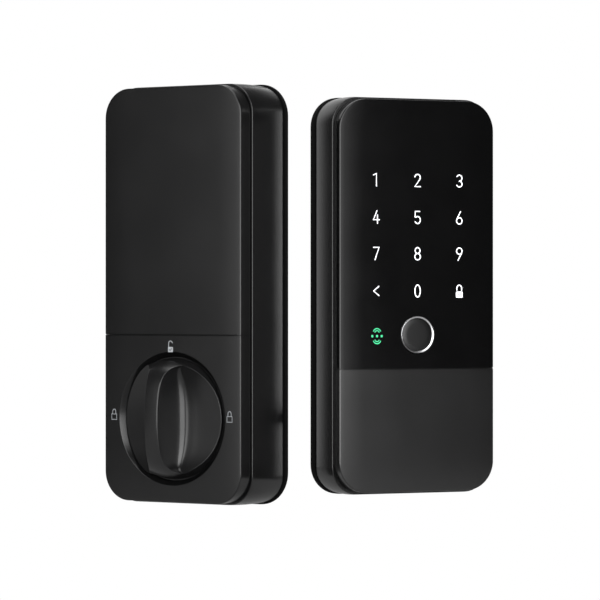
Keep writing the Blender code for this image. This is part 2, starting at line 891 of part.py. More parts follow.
def scoop_outline(side):
    """The plan of one finger scoop: an arc leaves the blade waisted, and the rest lies outside."""
    length = KNOB_END_RADIUS - 1.2
    bulge = BLADE_END_HALF_WIDTH - BLADE_HALF_WIDTH
    radius = (length**2 + bulge**2) / (2 * bulge)
    reach = math.degrees(math.asin((KNOB_RADIUS + 1.0) / radius))
    middle = side * (BLADE_HALF_WIDTH + radius)
    start = 180.0 if side > 0 else 0.0
    inner = arc(middle, 0.0, radius, start - side * reach, start + side * reach, 16)
    outer = side * 30.0
    return [*inner, (outer, inner[-1][1]), (outer, inner[0][1])]


def thumbturn(home):
    dome_centre = KNOB_CREST - KNOB_DOME_RADIUS
    steps = 8
    end_angle = math.asin(KNOB_END_RADIUS / KNOB_DOME_RADIUS)
    dome = [
        (
            KNOB_DOME_RADIUS * math.sin(end_angle * i / steps),
            dome_centre + KNOB_DOME_RADIUS * math.cos(end_angle * i / steps),
        )
        for i in range(steps + 1)
    ]
    skirt = [(KNOB_RADIUS - 0.4, dome[-1][1] - 1.2), (KNOB_RADIUS, KNOB_RIM)]
    base = [(KNOB_RADIUS, KNOB_BASE), (0.0, KNOB_BASE)]
    knob = turned("thumbturn_knob", dome + skirt + base, home, steps=48)
    scoops = [
        slab(f"scoop_{name}", [scoop_outline(side)], SCOOP_FLOOR, KNOB_CREST + 5, home)
        for side, name in ((-1, "left"), (1, "right"))
    ]
    cut(knob, *scoops)
    shaft = turned(
        "thumbturn_shaft",
        [
            (0.0, KNOB_BASE - GAP),
            (SHAFT_RADIUS, KNOB_BASE - GAP),
            (SHAFT_RADIUS, 7.6),
            (6.4, 7.5),
            (6.4, 4.2),
            (0.0, 4.2),
        ],
        home,
        steps=32,
    )
    cut(shaft, block("tailpiece_slot", (-3.7, -1.4, 0.0), (3.7, 1.4, 14.0), home))
    paint("satin_black", knob)
    paint("steel", shaft)


exterior = module("exterior_module", (0.0, 0.0), 0.0)
interior = module("interior_module", INTERIOR_PLACE, INTERIOR_YAW)

exterior_casing(exterior)
keyway_plate(exterior)
keypad(exterior)
lower_cover(exterior)
key_cylinder(exterior)
for post_name, post_side in (("mounting_post_left", -1), ("mounting_post_right", 1)):
    mounting_post(post_name, post_side, exterior)
exterior_electronics(exterior)
for count, spot in enumerate(HOUSING_SCREWS, 1):
    head_at = EXT_GASKET_TOP + GAP + 0.1
    paint("steel", back_screw(f"housing_screw_{count}", spot, 12.0, head_at, 4.4, exterior))

interior_casing(interior)
fascia(interior)
battery_cover(interior)
battery_bay(interior)
cable_and_buzzer(interior)
gear_train(interior)
thumbturn(interior)
for count, spot in enumerate(PLATE_SCREWS, 1):
    paint("steel", screw(f"plate_screw_{count}", spot, 2.0, 6.1, 7.6, interior))
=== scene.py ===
import json
import math

import bmesh
import bpy
from mathutils import Matrix, Vector


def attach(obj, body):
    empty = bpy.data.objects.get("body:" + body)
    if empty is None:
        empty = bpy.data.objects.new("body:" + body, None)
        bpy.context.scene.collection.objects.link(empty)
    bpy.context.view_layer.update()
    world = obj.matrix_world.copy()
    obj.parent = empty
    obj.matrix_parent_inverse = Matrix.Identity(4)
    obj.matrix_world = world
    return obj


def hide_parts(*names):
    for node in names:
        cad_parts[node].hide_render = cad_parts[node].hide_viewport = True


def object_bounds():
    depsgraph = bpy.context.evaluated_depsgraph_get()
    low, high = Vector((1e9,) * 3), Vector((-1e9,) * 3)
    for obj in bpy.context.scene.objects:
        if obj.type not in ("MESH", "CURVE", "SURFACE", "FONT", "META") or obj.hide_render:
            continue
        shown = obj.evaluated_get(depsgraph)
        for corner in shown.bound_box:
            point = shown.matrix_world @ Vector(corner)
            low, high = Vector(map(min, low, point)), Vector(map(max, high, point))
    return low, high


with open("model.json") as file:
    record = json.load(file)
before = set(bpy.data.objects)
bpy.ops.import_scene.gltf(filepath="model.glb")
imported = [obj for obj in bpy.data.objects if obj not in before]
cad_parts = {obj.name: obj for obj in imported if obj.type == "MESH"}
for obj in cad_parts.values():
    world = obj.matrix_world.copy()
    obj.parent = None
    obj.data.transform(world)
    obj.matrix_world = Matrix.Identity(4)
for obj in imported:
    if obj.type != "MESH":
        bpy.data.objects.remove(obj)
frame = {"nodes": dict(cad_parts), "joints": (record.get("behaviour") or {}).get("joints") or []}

# A keypad lock comes as two modules, one for each side of a door. Each is drawn in its own
# frame, in millimetres: X to the right and Y up on its face, Z out of the door, from the point
# where the axis of the door's bore meets the module.
cad_low, cad_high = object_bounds()
MM = 0.001
joints = {joint["name"]: joint for joint in frame["joints"]}


def module_frame(joint):
    """The frame of the module whose bore axis is this joint's axis."""
    out = Vector(joint["axis"]).normalized()
    up = Vector((0.0, 0.0, 1.0))
    turn = Matrix((up.cross(out), up, out)).transposed().to_4x4()
    return Matrix.Translation(joint["pos_m"]) @ turn @ Matrix.Scale(MM, 4)


EXTERIOR = module_frame(joints["key_turn"])
INTERIOR = module_frame(joints["thumbturn_turn"])


def span(node, home):
    """The lowest and highest corner of a node, in millimetres in its module's frame."""
    flat = home.inverted()
    points = [flat @ vertex.co for vertex in frame["nodes"][node].data.vertices]
    return Vector(map(min, *points)), Vector(map(max, *points))


# Studio: a pale floor that runs out of sight and soft panels round the object. The camera
# stands between the two modules' faces on a long lens, level with the middle of the object.
CAMERA_PLACE = (-0.675, -1.249, 0.0449)
CAMERA_BEARING = 27.0  # degrees to the right of +Y
LENS = 222.0
FLOOR_DROP = 0.045  # the floor lies this far under the lock, so that its cover can slide down
FLOOR_HALF = 3.0
PAPER_TONE = 0.4
ROOM_LIGHT = 0.07
STUDIO_CENTRE = Vector((-0.035, 0.01, 0.047))
WHITE = (1.0, 1.0, 1.0, 1.0)

scene = bpy.context.scene
scene.view_settings.view_transform = "Standard"
lens = bpy.data.cameras.new("long_lens")
lens.lens = LENS
lens.sensor_width = 36.0
camera = bpy.data.objects.new("camera", lens)
camera.location = CAMERA_PLACE
camera.rotation_euler = (math.radians(90.0), 0.0, -math.radians(CAMERA_BEARING))
scene.collection.objects.link(camera)
scene.camera = camera


def fed(tree, node, inputs):
    """Gives inputs of a node a value each, or the socket that feeds them."""
    for label, value in inputs.items():
        if isinstance(value, bpy.types.NodeSocket):
            tree.links.new(value, node.inputs[label])
        else:
            node.inputs[label].default_value = value
    return node


def added(tree, kind, inputs=None, **settings):
    """A new node of a tree, with its settings and its inputs."""
    node = tree.nodes.new(kind)
    for label, value in settings.items():
        setattr(node, label, value)
    return fed(tree, node, inputs or {})


world = bpy.data.worlds.new("studio")
scene.world = world
world.use_nodes = True
sky = world.node_tree
sky.nodes.clear()
seen = added(sky, "ShaderNodeBackground", {"Color": WHITE, "Strength": 1.0})
felt = added(sky, "ShaderNodeBackground", {"Color": WHITE, "Strength": ROOM_LIGHT})
ray = added(sky, "ShaderNodeLightPath")
choice = {0: ray.outputs["Is Camera Ray"], 1: felt.outputs["Background"], 2: seen.outputs["Background"]}
either = added(sky, "ShaderNodeMixShader", choice)
added(sky, "ShaderNodeOutputWorld", {"Surface": either.outputs["Shader"]})


def bare_material(name):
    """A material with an empty tree, and that tree."""
    material = bpy.data.materials.new(name)
    material.use_nodes = True
    material.node_tree.nodes.clear()
    return material, material.node_tree


def pale_paper():
    """Paper lit so evenly that it looks white, and that still bounces light on to the object."""
    paper, tree = bare_material("pale_paper")
    glow = added(tree, "ShaderNodeEmission")
    bounce = added(tree, "ShaderNodeBsdfDiffuse", {"Color": (PAPER_TONE, PAPER_TONE, PAPER_TONE, 1.0)})
    path = added(tree, "ShaderNodeLightPath")
    sides = {0: path.outputs["Is Camera Ray"], 1: bounce.outputs["BSDF"], 2: glow.outputs["Emission"]}
    mix = added(tree, "ShaderNodeMixShader", sides)
    added(tree, "ShaderNodeOutputMaterial", {"Surface": mix.outputs["Shader"]})
    return paper


def flat_sheet(name, corners, material):
    """A sheet of the studio between four corners."""
    mesh = bpy.data.meshes.new(name)
    mesh.from_pydata(corners, [], [range(len(corners))])
    mesh.uv_layers.new(name="sheet")
    for corner, uv in zip(mesh.uv_layers[0].data, ((0, 0), (1, 0), (1, 1), (0, 1))):
        corner.uv = uv
    mesh.materials.append(material)
    sheet = bpy.data.objects.new(name, mesh)
    scene.collection.objects.link(sheet)
    return sheet


def square(half, height, signs):
    return [(x * half, y * half, height) for x, y in signs]


floor_corners = square(FLOOR_HALF, cad_low.z - FLOOR_DROP, ((-1, -1), (1, -1), (1, 1), (-1, 1)))
flat_sheet("floor", floor_corners, pale_paper())


def panel_light(name, strength, fades):
    """A light that fades towards its left, right, lower and upper edge, as a softbox does. A
    fade is the share of the panel that it takes up."""
    material, tree = bare_material(name)
    place = added(tree, "ShaderNodeUVMap", uv_map="sheet")
    split = added(tree, "ShaderNodeSeparateXYZ", {"Vector": place.outputs["UV"]})
    so_far = strength
    for axis, fade, far_side in zip("XXYY", fades, (False, True, False, True)):
        dark, lit = (1.0, 1.0 - fade) if far_side else (0.0, fade)
        limits = {"Value": split.outputs[axis], "From Min": dark, "From Max": lit}
        ramp = added(tree, "ShaderNodeMapRange", limits, interpolation_type="SMOOTHSTEP")
        factors = {0: ramp.outputs["Result"], 1: so_far}
        so_far = added(tree, "ShaderNodeMath", factors, operation="MULTIPLY").outputs["Value"]
    glow = added(tree, "ShaderNodeEmission", {"Strength": so_far})
    added(tree, "ShaderNodeOutputMaterial", {"Surface": glow.outputs["Emission"]})
    return material


def soft_panel(name, bearings, distance, heights, strength, fades):
    """A lit panel that stands round the object between two bearings, in degrees from -Y to +X."""
    corners = []
    for side, level in ((0, 0), (1, 0), (1, 1), (0, 1)):
        turn = math.radians(bearings[side])
        away = Vector((math.sin(turn), -math.cos(turn), 0.0)) * distance
        corners.append(STUDIO_CENTRE + away + Vector((0.0, 0.0, heights[level])))
    panel = flat_sheet(name, corners, panel_light(name, strength, fades))
    panel.visible_camera = False


soft_panel("front_panel", (-34.0, 28.0), 0.9, (-0.125, 0.7), 5.4, (0.08, 0.3, 0.02, 0.5))
soft_panel("left_panel", (-95.0, -46.0), 0.9, (-0.125, 0.7), 4.0, (0.14, 0.15, 0.02, 0.5))
soft_panel("right_panel", (72.0, 114.0), 0.9, (-0.125, 0.3), 3.6, (0.3, 0.1, 0.02, 0.5))
soft_panel("corner_panel", (110.0, 152.0), 0.95, (-0.125, 0.8), 1.6, (0.1, 0.2, 0.02, 0.4))
soft_panel("back_panel", (146.0, 212.0), 0.9, (-0.125, 0.8), 0.95, (0.15, 0.25, 0.02, 0.4))
TOP_HALF = 0.6
TOP_HEIGHT = STUDIO_CENTRE.z + 0.9
TOP_STRENGTH = 3.5
top_corners = square(TOP_HALF, TOP_HEIGHT, ((-1, -1), (-1, 1), (1, 1), (1, -1)))
top_light = panel_light("top_panel", TOP_STRENGTH, (0.3, 0.3, 0.3, 0.3))
flat_sheet("top_panel", top_corners, top_light).visible_camera = False

# Casing of the exterior module: a deep tray moulded in black polycarbonate, with a fine
# spark-eroded grain. Its sides are barrelled: widest a little above half way.
EXTERIOR_CORNER = 10.6
SIDE_BOW = 0.35
WIDEST_AT = 0.56  # how far up from the back a casing's side is widest
EXTERIOR_WALL = 2.4
BORE_OPENING = 13.3
GROMMET_HOLE = 3.4
POST_HOLE = 3.3
SCREW_HOLE = 1.6
SCREW_SINK = (3.0, 1.5)  # radius and depth


def outline(left, bottom, right, top, radii, inset=0.0, steps=14):
    """Points round a rectangle, anticlockwise from its lower left corner. radii has one radius
    for each corner, and inset moves the whole outline inwards."""
    points = []
    spots = ((left, bottom, 1, 1), (right, bottom, -1, 1), (right, top, -1, -1), (left, top, 1, -1))
    for number, ((x, y, inward_x, inward_y), radius) in enumerate(zip(spots, radii)):
        radius = max(radius - inset, 0.05)
        centre_x = x + inward_x * (inset + radius)
        centre_y = y + inward_y * (inset + radius)
        for step in range(steps + 1):
            turn = math.radians(180.0 + 90.0 * number + 90.0 * step / steps)
            points.append((centre_x + radius * math.cos(turn), centre_y + radius * math.sin(turn)))
    return points


def circle(x, y, radius, steps=64):
    turns = [2.0 * math.pi * step / steps for step in range(steps)]
    return [(x + radius * math.cos(turn), y + radius * math.sin(turn)) for turn in turns]


def loft(shape, rings):
    """Skins a row of closed rings of points and returns their vertices."""
    made = [[shape.verts.new(point) for point in ring] for ring in rings]
    for low, high in zip(made, made[1:]):
        for i in range(len(low)):
            j = (i + 1) % len(low)
            shape.faces.new((low[i], low[j], high[j], high[i]))
    return made


def fill(shape, *rings):
    """Closes a flat face that the first ring bounds. The other rings are holes in it."""
    edges = [shape.edges.get((ring[i - 1], ring[i])) for ring in rings for i in range(len(ring))]
    bmesh.ops.triangle_fill(shape, use_beauty=True, edges=edges)


def solid(shape, rings):
    """Skins a row of rings and closes both ends."""
    made = loft(shape, rings)
    fill(shape, made[0])
    fill(shape, made[-1])


def eased(radius, inset, height, steps=4, up=True):
    """A rounded edge as (inset, height) pairs: from the wall on to the face, or back if not up."""
    pairs = []
    for step in range(steps + 1):
        turn = math.radians(90.0 * step / steps)
        run = radius * (1.0 - math.cos(turn))
        rise = radius * (1.0 - math.sin(turn))
        pairs.append((inset + run, height - rise if up else height + rise))
    return pairs if up else pairs[::-1]


def as_mesh(name, shape, home, material, smooth_below=34.0):
    """Moves a shape from its module's frame into place, with its faces turned outwards."""
    bmesh.ops.remove_doubles(shape, verts=shape.verts, dist=0.0005)
    bmesh.ops.dissolve_degenerate(shape, edges=shape.edges, dist=0.0005)
    bmesh.ops.recalc_face_normals(shape, faces=shape.faces)
    shape.transform(home)
    mesh = bpy.data.meshes.new(name)
    shape.to_mesh(mesh)
    shape.free()
    mesh.materials.append(material)
    mesh.shade_smooth()
    mesh.set_sharp_from_angle(angle=math.radians(smooth_below))
    return mesh


def placed(name, mesh):
    piece = bpy.data.objects.new(name, mesh)
    scene.collection.objects.link(piece)
    return piece


def settled(piece):
    """Turns a piece's modifiers into its mesh."""
    graph = bpy.context.evaluated_depsgraph_get()
    mesh = bpy.data.meshes.new_from_object(piece.evaluated_get(graph))
    piece.modifiers.clear()
    piece.data = mesh
    return piece


def drilled(piece, *cutters):
    """Cuts each cutter out of a piece and removes the cutters."""
    for cutter in cutters:
        hole = piece.modifiers.new("hole", "BOOLEAN")
        hole.solver = "EXACT"
        hole.object = cutter
    settled(piece)
    for cutter in cutters:
        bpy.data.objects.remove(cutter)
    return piece


def even_shading(piece):
    """Keeps the shading of a flat face flat up to its rounded edges."""
    weigh = piece.modifiers.new("even_shading", "WEIGHTED_NORMAL")
    weigh.keep_sharp = True
    return settled(piece)


def fit(piece, body, slot, *stands_for):
    """Fixes a finished piece to its body and hides the nodes that it stands for. slot, its finish, is
    not used.
    """
    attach(piece, body)
    if stands_for:
        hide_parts(*stands_for)


def cutter(ring, low, high, home):
    """A bar along Z that cuts a hole with this outline."""
    shape = bmesh.new()
    solid(shape, [[(*point, z) for point in ring] for z in (low, high)])
    return placed("cutter", as_mesh("cutter", shape, home, None))


def drill(x, y, radius, low, high, home, steps=40):
    return cutter(circle(x, y, radius, steps), low, high, home)


def new_group(name, values, results):
    """An empty shader group with number inputs, and outputs given as name: socket type."""
    group = bpy.data.node_groups.new(name, "ShaderNodeTree")
    for label, value in values.items():
        socket = group.interface.new_socket(label, in_out="INPUT", socket_type="NodeSocketFloat")
        socket.default_value = value
    for label, kind in results.items():
        group.interface.new_socket(label, in_out="OUTPUT", socket_type=kind)
    return group, added(group, "NodeGroupInput"), added(group, "NodeGroupOutput")


def moulded_grain():
    """The fine matt grain of a spark-eroded mould, with the slow drift of a large moulding."""
    group, given, result = new_group(
        "moulded_grain",
        {"Grain": 5500.0, "Drift": 45.0},
        {"Height": "NodeSocketFloat", "Mottle": "NodeSocketFloat"},
    )
    place = added(group, "ShaderNodeTexCoord").outputs["Object"]
    fine_inputs = {"Vector": place, "Scale": given.outputs["Grain"], "Detail": 2.0}
    slow_inputs = {"Vector": place, "Scale": given.outputs["Drift"], "Detail": 3.0}
    fine = added(group, "ShaderNodeTexNoise", fine_inputs)
    slow = added(group, "ShaderNodeTexNoise", slow_inputs)
    fed(group, result, {"Height": fine.outputs["Fac"], "Mottle": slow.outputs["Fac"]})
    return group


def edge_rub():
    """How near a point is to an outer edge, where handling has polished the surface."""
    group, given, result = new_group(
        "edge_rub", {"Width": 0.0006, "Start": 0.02, "End": 0.3}, {"Mask": "NodeSocketFloat"}
    )
    round_off = added(group, "ShaderNodeBevel", {"Radius": given.outputs["Width"]}, samples=4)
    here = added(group, "ShaderNodeNewGeometry")
    normals = {0: round_off.outputs["Normal"], 1: here.outputs["Normal"]}
    apart = added(group, "ShaderNodeVectorMath", normals, operation="DISTANCE").outputs["Value"]
    limits = {"Value": apart, "From Min": given.outputs["Start"], "From Max": given.outputs["End"]}
    amount = added(group, "ShaderNodeMapRange", limits)
    fed(group, result, {"Mask": amount.outputs["Result"]})
    return group


GRAIN = moulded_grain()
RUB = edge_rub()


def principled(name, metallic=0.0, specular=0.5):
    material = bpy.data.materials.new(name)
    material.use_nodes = True
    tree = material.node_tree
    shader = tree.nodes["Principled BSDF"]
    fed(tree, shader, {"Metallic": metallic, "Specular IOR Level": specular})
    return material, tree, shader


def grouped(tree, group, **values):
    """The outputs of a group placed in a material, with some of its inputs set."""
    return added(tree, "ShaderNodeGroup", values, node_tree=group).outputs


def between(tree, factor, low, high):
    """A number that runs from low to high as factor runs from 0 to 1."""
    limits = {"Value": factor, "To Min": low, "To Max": high}
    return added(tree, "ShaderNodeMapRange", limits).outputs["Result"]


def blended(tree, factor, first, second):
    """A colour that runs from first to second as factor runs from 0 to 1."""
    ends = {"Factor": factor, "A": (*first, 1.0), "B": (*second, 1.0)}
    return added(tree, "ShaderNodeMix", ends, data_type="RGBA").outputs["Result"]


def relief(tree, height, depth):
    """The normal of a surface with this relief, which is depth metres deep."""
    inputs = {"Strength": 1.0, "Distance": depth, "Height": height}
    return added(tree, "ShaderNodeBump", inputs).outputs["Normal"]


def moulded(name, dark, pale, rough, grain_depth, specular=0.5):
    """Moulded plastic: grained, slightly uneven in tone and polished along its edges."""
    material, tree, shader = principled(name, 0.0, specular)
    grain = grouped(tree, GRAIN)
    rub = grouped(tree, RUB)
    even = between(tree, grain["Mottle"], rough - 0.03, rough + 0.03)
    polish = added(tree, "ShaderNodeMath", {0: rub["Mask"], 1: -0.08, 2: even}, operation="MULTIPLY_ADD")
    looks = {
        "Base Color": blended(tree, grain["Mottle"], dark, pale),
        "Roughness": polish.outputs["Value"],
        "Normal": relief(tree, grain["Height"], grain_depth),
    }
    fed(tree, shader, looks)
    return material


casing_black = moulded("casing_black", (0.003, 0.003, 0.0031), (0.0042, 0.0042, 0.0043), 0.23, 4e-6)


def walled_tray(low, high, corner, pairs, inner_pairs, home, name, material):
    """A tray whose outer wall and inner wall are given as (inset, height) pairs, back to front."""
    shape = bmesh.new()
    rings = [
        [(*point, height) for point in outline(low.x, low.y, high.x, high.y, (corner,) * 4, inset)]
        for inset, height in [*pairs, *reversed(inner_pairs)]
    ]
    solid(shape, rings)
    return placed(name, as_mesh(name, shape, home, material))


def barrel_side(low, high, bow, steps=8):
    """(inset, height) pairs of a side that swells out to its widest a little above half way."""
    widest = low + (high - low) * WIDEST_AT
    heights = [low + (high - low) * step / steps for step in range(steps + 1)]
    return [(bow * ((height - widest) / (widest - low)) ** 2, height) for height in heights]


def casing(node, home, corner, wall, floor_thick, skirt=0.0):
    """A housing. skirt lets its wall reach further back than its floor."""
    low, high = span(node, home)
    back = low.z - skirt
    side = barrel_side(back, high.z, SIDE_BOW)
    pairs = [*eased(0.25, side[0][0], back, up=False), *side[1:-1]]
    pairs += eased(0.3, side[-1][0], high.z)
    floor = low.z + floor_thick
    inner = [(wall + 0.3, floor), (wall, floor + 0.3), (wall, high.z - 0.2), (wall - 0.2, high.z)]
    return walled_tray(low, high, corner, pairs, inner, home, node + "_shell", casing_black)


def middle(node, home):
    """The centre of a node, in its module's frame."""
    low, high = span(node, home)
    return (low + high) / 2


exterior_shell = casing("exterior_housing", EXTERIOR, EXTERIOR_CORNER, EXTERIOR_WALL, EXTERIOR_WALL)
EXTERIOR_SCREWS = [f"housing_screw_{number}" for number in range(1, 5)]
floor_low = span("exterior_housing", EXTERIOR)[0].z
through = (floor_low - 2, floor_low + 5, EXTERIOR)
holes = [drill(0.0, 0.0, BORE_OPENING, *through, 64)]
holes.append(drill(0.0, middle("cable_grommet", EXTERIOR).y, GROMMET_HOLE, *through))
for node in ("mounting_post_left", "mounting_post_right"):
    holes.append(drill(middle(node, EXTERIOR).x, 0.0, POST_HOLE, *through))
for node in EXTERIOR_SCREWS:
    spot = middle(node, EXTERIOR)
    sink_radius, sink_deep = SCREW_SINK
    holes.append(drill(spot.x, spot.y, SCREW_HOLE, *through, 24))
    holes.append(drill(spot.x, spot.y, sink_radius, floor_low - 2, floor_low + sink_deep, EXTERIOR, 24))
drilled(exterior_shell, *holes)
fit(even_shading(exterior_shell), "exterior", "casing_black", "exterior_housing")

# Gasket of the exterior module: a ring of black foam rubber, glued to the back of the casing
# and pressed against the door. It stands a hair proud of the casing.
GASKET_PROUD = 0.7
GASKET_OPENING = 24.0


def flat_piece(name, rim, holes, low, high, home, material, soft=0.2):
    """A flat plate with rounded outer edges. rim(inset) gives its outline, and each hole is a
    ring of points."""
    shape = bmesh.new()
    pairs = [*eased(soft, 0.0, low, up=False), *eased(soft, 0.0, high)]
    made = loft(shape, [[(*point, z) for point in rim(inset)] for inset, z in pairs])
    drills = [loft(shape, [[(*point, z) for point in hole] for z in (low, high)]) for hole in holes]
    fill(shape, made[0], *[drill[0] for drill in drills])
    fill(shape, made[-1], *[drill[-1] for drill in drills])
    return placed(name, as_mesh(name, shape, home, material))


def foam_rubber(name):
    """Closed-cell foam rubber: matt black, pitted with small cells."""
    material, tree, shader = principled(name, 0.0, 0.12)
    place = added(tree, "ShaderNodeTexCoord").outputs["Object"]
    cells = added(tree, "ShaderNodeTexVoronoi", {"Scale": 2600.0, "Vector": place}).outputs["Distance"]
    looks = {
        "Base Color": blended(tree, cells, (0.0006,) * 3, (0.002,) * 3),
        "Roughness": between(tree, cells, 0.95, 0.82),
        "Normal": relief(tree, cells, 3e-5),
    }
    fed(tree, shader, looks)
    return material


rubber_foam = foam_rubber("rubber_foam")
gasket_low, gasket_high = span("exterior_gasket", EXTERIOR)


def gasket_rim(inset):
    edges = (gasket_low.x, gasket_low.y, gasket_high.x, gasket_high.y)
    return outline(*edges, (EXTERIOR_CORNER,) * 4, inset - GASKET_PROUD)


gasket = flat_piece(
    "exterior_foam_gasket",
    gasket_rim,
    [circle(0.0, 0.0, GASKET_OPENING, 96)],
    gasket_low.z,
    gasket_high.z,
    EXTERIOR,
    rubber_foam,
)
fit(gasket, "exterior", "rubber", "exterior_gasket")

# The two halves of a front are mouldings of one section that meet at a joint line. Their edge
# is rounded, and the face falls away a little before it. This section only sets out how.
EXTERIOR_FRONT_CORNER = 11.4
CROWN_WIDTH = 10.0
CROWN_DROP = 0.14
EDGE_ROUND = 0.42
JOINT_ROUND = 0.08
BACK_CHAMFER = 0.12


def crowned_front(front, steps=6):
    """(inset, height) pairs over the rounded edge of a front and in over its crown."""
    pairs = eased(EDGE_ROUND, 0.0, front - CROWN_DROP)
    for step in range(1, steps + 1):
        share = step / steps
        pairs.append((EDGE_ROUND + CROWN_WIDTH * share, front - CROWN_DROP * (1 - share) ** 2))
    return pairs


def front_half(name, node, back, lower, upper, home, corner, material):
    """One half of a front: the whole front as a block from the height back, cut at the joint."""
    low, high = span(lower, home)[0], span(upper, home)[1]
    shape = bmesh.new()
    rings = [
        [(*point, z) for point in outline(low.x, low.y, high.x, high.y, (corner,) * 4, inset)]
        for inset, z in [(BACK_CHAMFER, back), (0.0, back + BACK_CHAMFER), *crowned_front(high.z)]
    ]
    solid(shape, rings)
    bmesh.ops.recalc_face_normals(shape, faces=shape.faces)
    joint = span(node, home)[1].y if node == lower else span(node, home)[0].y
    cut = bmesh.ops.bisect_plane(
        shape,
        geom=[*shape.verts, *shape.edges, *shape.faces],
        dist=1e-5,
        plane_co=(0.0, joint, 0.0),
        plane_no=(0.0, 1.0 if node == lower else -1.0, 0.0),
        clear_outer=True,
    )
    rim = [part for part in cut["geom_cut"] if isinstance(part, bmesh.types.BMEdge)]
    end = bmesh.ops.edgeloop_fill(shape, edges=rim)["faces"][0]
    bmesh.ops.bevel(shape, geom=list(end.edges), offset=JOINT_ROUND, segments=2, affect="EDGES")
    return placed(name, as_mesh(name, shape, home, material))


def cavity(node, home, radii, wall, roof, open_end=0.0):
    """The cutter for the hollow behind a front half. open_end lets it run out below."""
    low, high = span(node, home)
    ring = outline(low.x + wall, low.y + wall - open_end, high.x - wall, high.y - wall, radii)
    return cutter(ring, low.z - 8.0, high.z - roof, home)


# Keypad window: a pane of black glass that covers the upper three quarters of the front, with
# a bore for the fingerprint sensor.
SENSOR_BORE = 7.25


def gloss_black(name, tone, rough, specular):
    """Black glass: almost a mirror, with the faint haze that fingers leave."""
    material, tree, shader = principled(name, 0.0, specular)
    haze = grouped(tree, GRAIN, Grain=900.0, Drift=70.0)
    looks = {
        "Base Color": (*tone, 1.0),
        "Roughness": between(tree, haze["Mottle"], rough - 0.03, rough + 0.03),
        "Normal": relief(tree, haze["Height"], 4e-7),
    }
    fed(tree, shader, looks)
    return material


FRONT = ("lower_cover", "keypad_glass", EXTERIOR, EXTERIOR_FRONT_CORNER)
black_glass = gloss_black("black_glass", (0.0006, 0.0006, 0.0007), 0.13, 0.5)
glass_low, glass_high = span("keypad_glass", EXTERIOR)
sensor_y = middle("fingerprint_ring", EXTERIOR).y
glass = front_half("keypad_window", "keypad_glass", glass_low.z, *FRONT, black_glass)
drilled(glass, drill(0.0, sensor_y, SENSOR_BORE, glass_low.z - 1, glass_high.z + 1, EXTERIOR, 96))
fit(even_shading(glass), "exterior", "keypad_glass", "keypad_glass")

# Lower cover: a painted cap that slides down over the keyway, hollow behind, with two hooked
# rails that hold it to the plate.
COVER_WALL = 1.8
JOINT_CORNER = 0.4  # of the hollow, next to the joint line
RAIL_X = 27.0
RAIL_HALF = 0.8
HOOK_REACH = 2.5
charcoal = moulded(
    "charcoal_paint", (0.0025, 0.0025, 0.0026), (0.0035, 0.0035, 0.0036), 0.21, 5e-6, 0.8
)


def bars(name, boxes, home, material):
    """Closed boxes with slightly rounded edges, given as (lowest corner, highest corner)."""
    shape = bmesh.new()
    for low, high in boxes:
        ring = outline(low[0], low[1], high[0], high[1], (0.15,) * 4, 0.0, 2)
        solid(shape, [[(*point, z) for point in ring] for z in (low[2], high[2])])
    return placed(name, as_mesh(name, shape, home, material))


cover_back = span("exterior_housing", EXTERIOR)[1].z + 0.3
cover = front_half("keyway_cover", "lower_cover", cover_back, *FRONT, charcoal)
inner = EXTERIOR_FRONT_CORNER - COVER_WALL
hollow_corners = (inner, inner, JOINT_CORNER, JOINT_CORNER)
drilled(cover, cavity("lower_cover", EXTERIOR, hollow_corners, COVER_WALL, COVER_WALL))
rails = []
for side in (-1, 1):
    stem = sorted((side * (RAIL_X - RAIL_HALF), side * (RAIL_X + RAIL_HALF)))
    lip = sorted((side * (RAIL_X - HOOK_REACH), side * (RAIL_X + RAIL_HALF)))
    rails.append(((stem[0], 10.7, 14.0), (stem[1], 16.7, 20.8)))
    rails.append(((lip[0], 11.0, 13.4), (lip[1], 16.4, 14.6)))
fit(even_shading(cover), "lower_cover", "charcoal_cover", "lower_cover")
fit(bars("keyway_cover_hooks", rails, EXTERIOR, charcoal), "lower_cover", "charcoal_cover")


def joint_tongue(name, lower, upper, back, home, material):
    """A tongue on the fixed half of a front. It closes the joint line a little below the face."""
    below, above = span(lower, home), span(upper, home)
    step = JOINT_ROUND / 4
    low = (below[0].x + BACK_CHAMFER, below[1].y + step, back)
    top = above[1].z - CROWN_DROP - EDGE_ROUND - 0.1
    high = (below[1].x - BACK_CHAMFER, above[0].y - step, top)
    return bars(name, [(low, high)], home, material)


tongue = joint_tongue("keypad_joint_tongue", *FRONT[:2], cover_back, EXTERIOR, charcoal)
fit(tongue, "exterior", "casing_black")

# Printed numerals: lamps behind the window light them through clear gaps in its black print.
# Each numeral is a row of strokes of one width with round ends.
KEY_COLUMNS = (-17.7, 0.0, 18.1)
KEY_ROWS = (90.1, 76.1, 62.4, 48.3)
STROKE = 0.4
PRINT_THICK = 0.03


def new_tree(name, numbers):
    """An empty geometry tree with number inputs and a material to finish the result in."""
    tree = bpy.data.node_groups.new(name, "GeometryNodeTree")
    tree.interface.new_socket("Geometry", in_out="INPUT", socket_type="NodeSocketGeometry")
    for label, value in numbers.items():
        socket = tree.interface.new_socket(label, in_out="INPUT", socket_type="NodeSocketFloat")
        socket.default_value = value
    tree.interface.new_socket("Finish", in_out="INPUT", socket_type="NodeSocketMaterial")
    tree.interface.new_socket("Geometry", in_out="OUTPUT", socket_type="NodeSocketGeometry")
    return tree, added(tree, "NodeGroupInput").outputs, added(tree, "NodeGroupOutput")


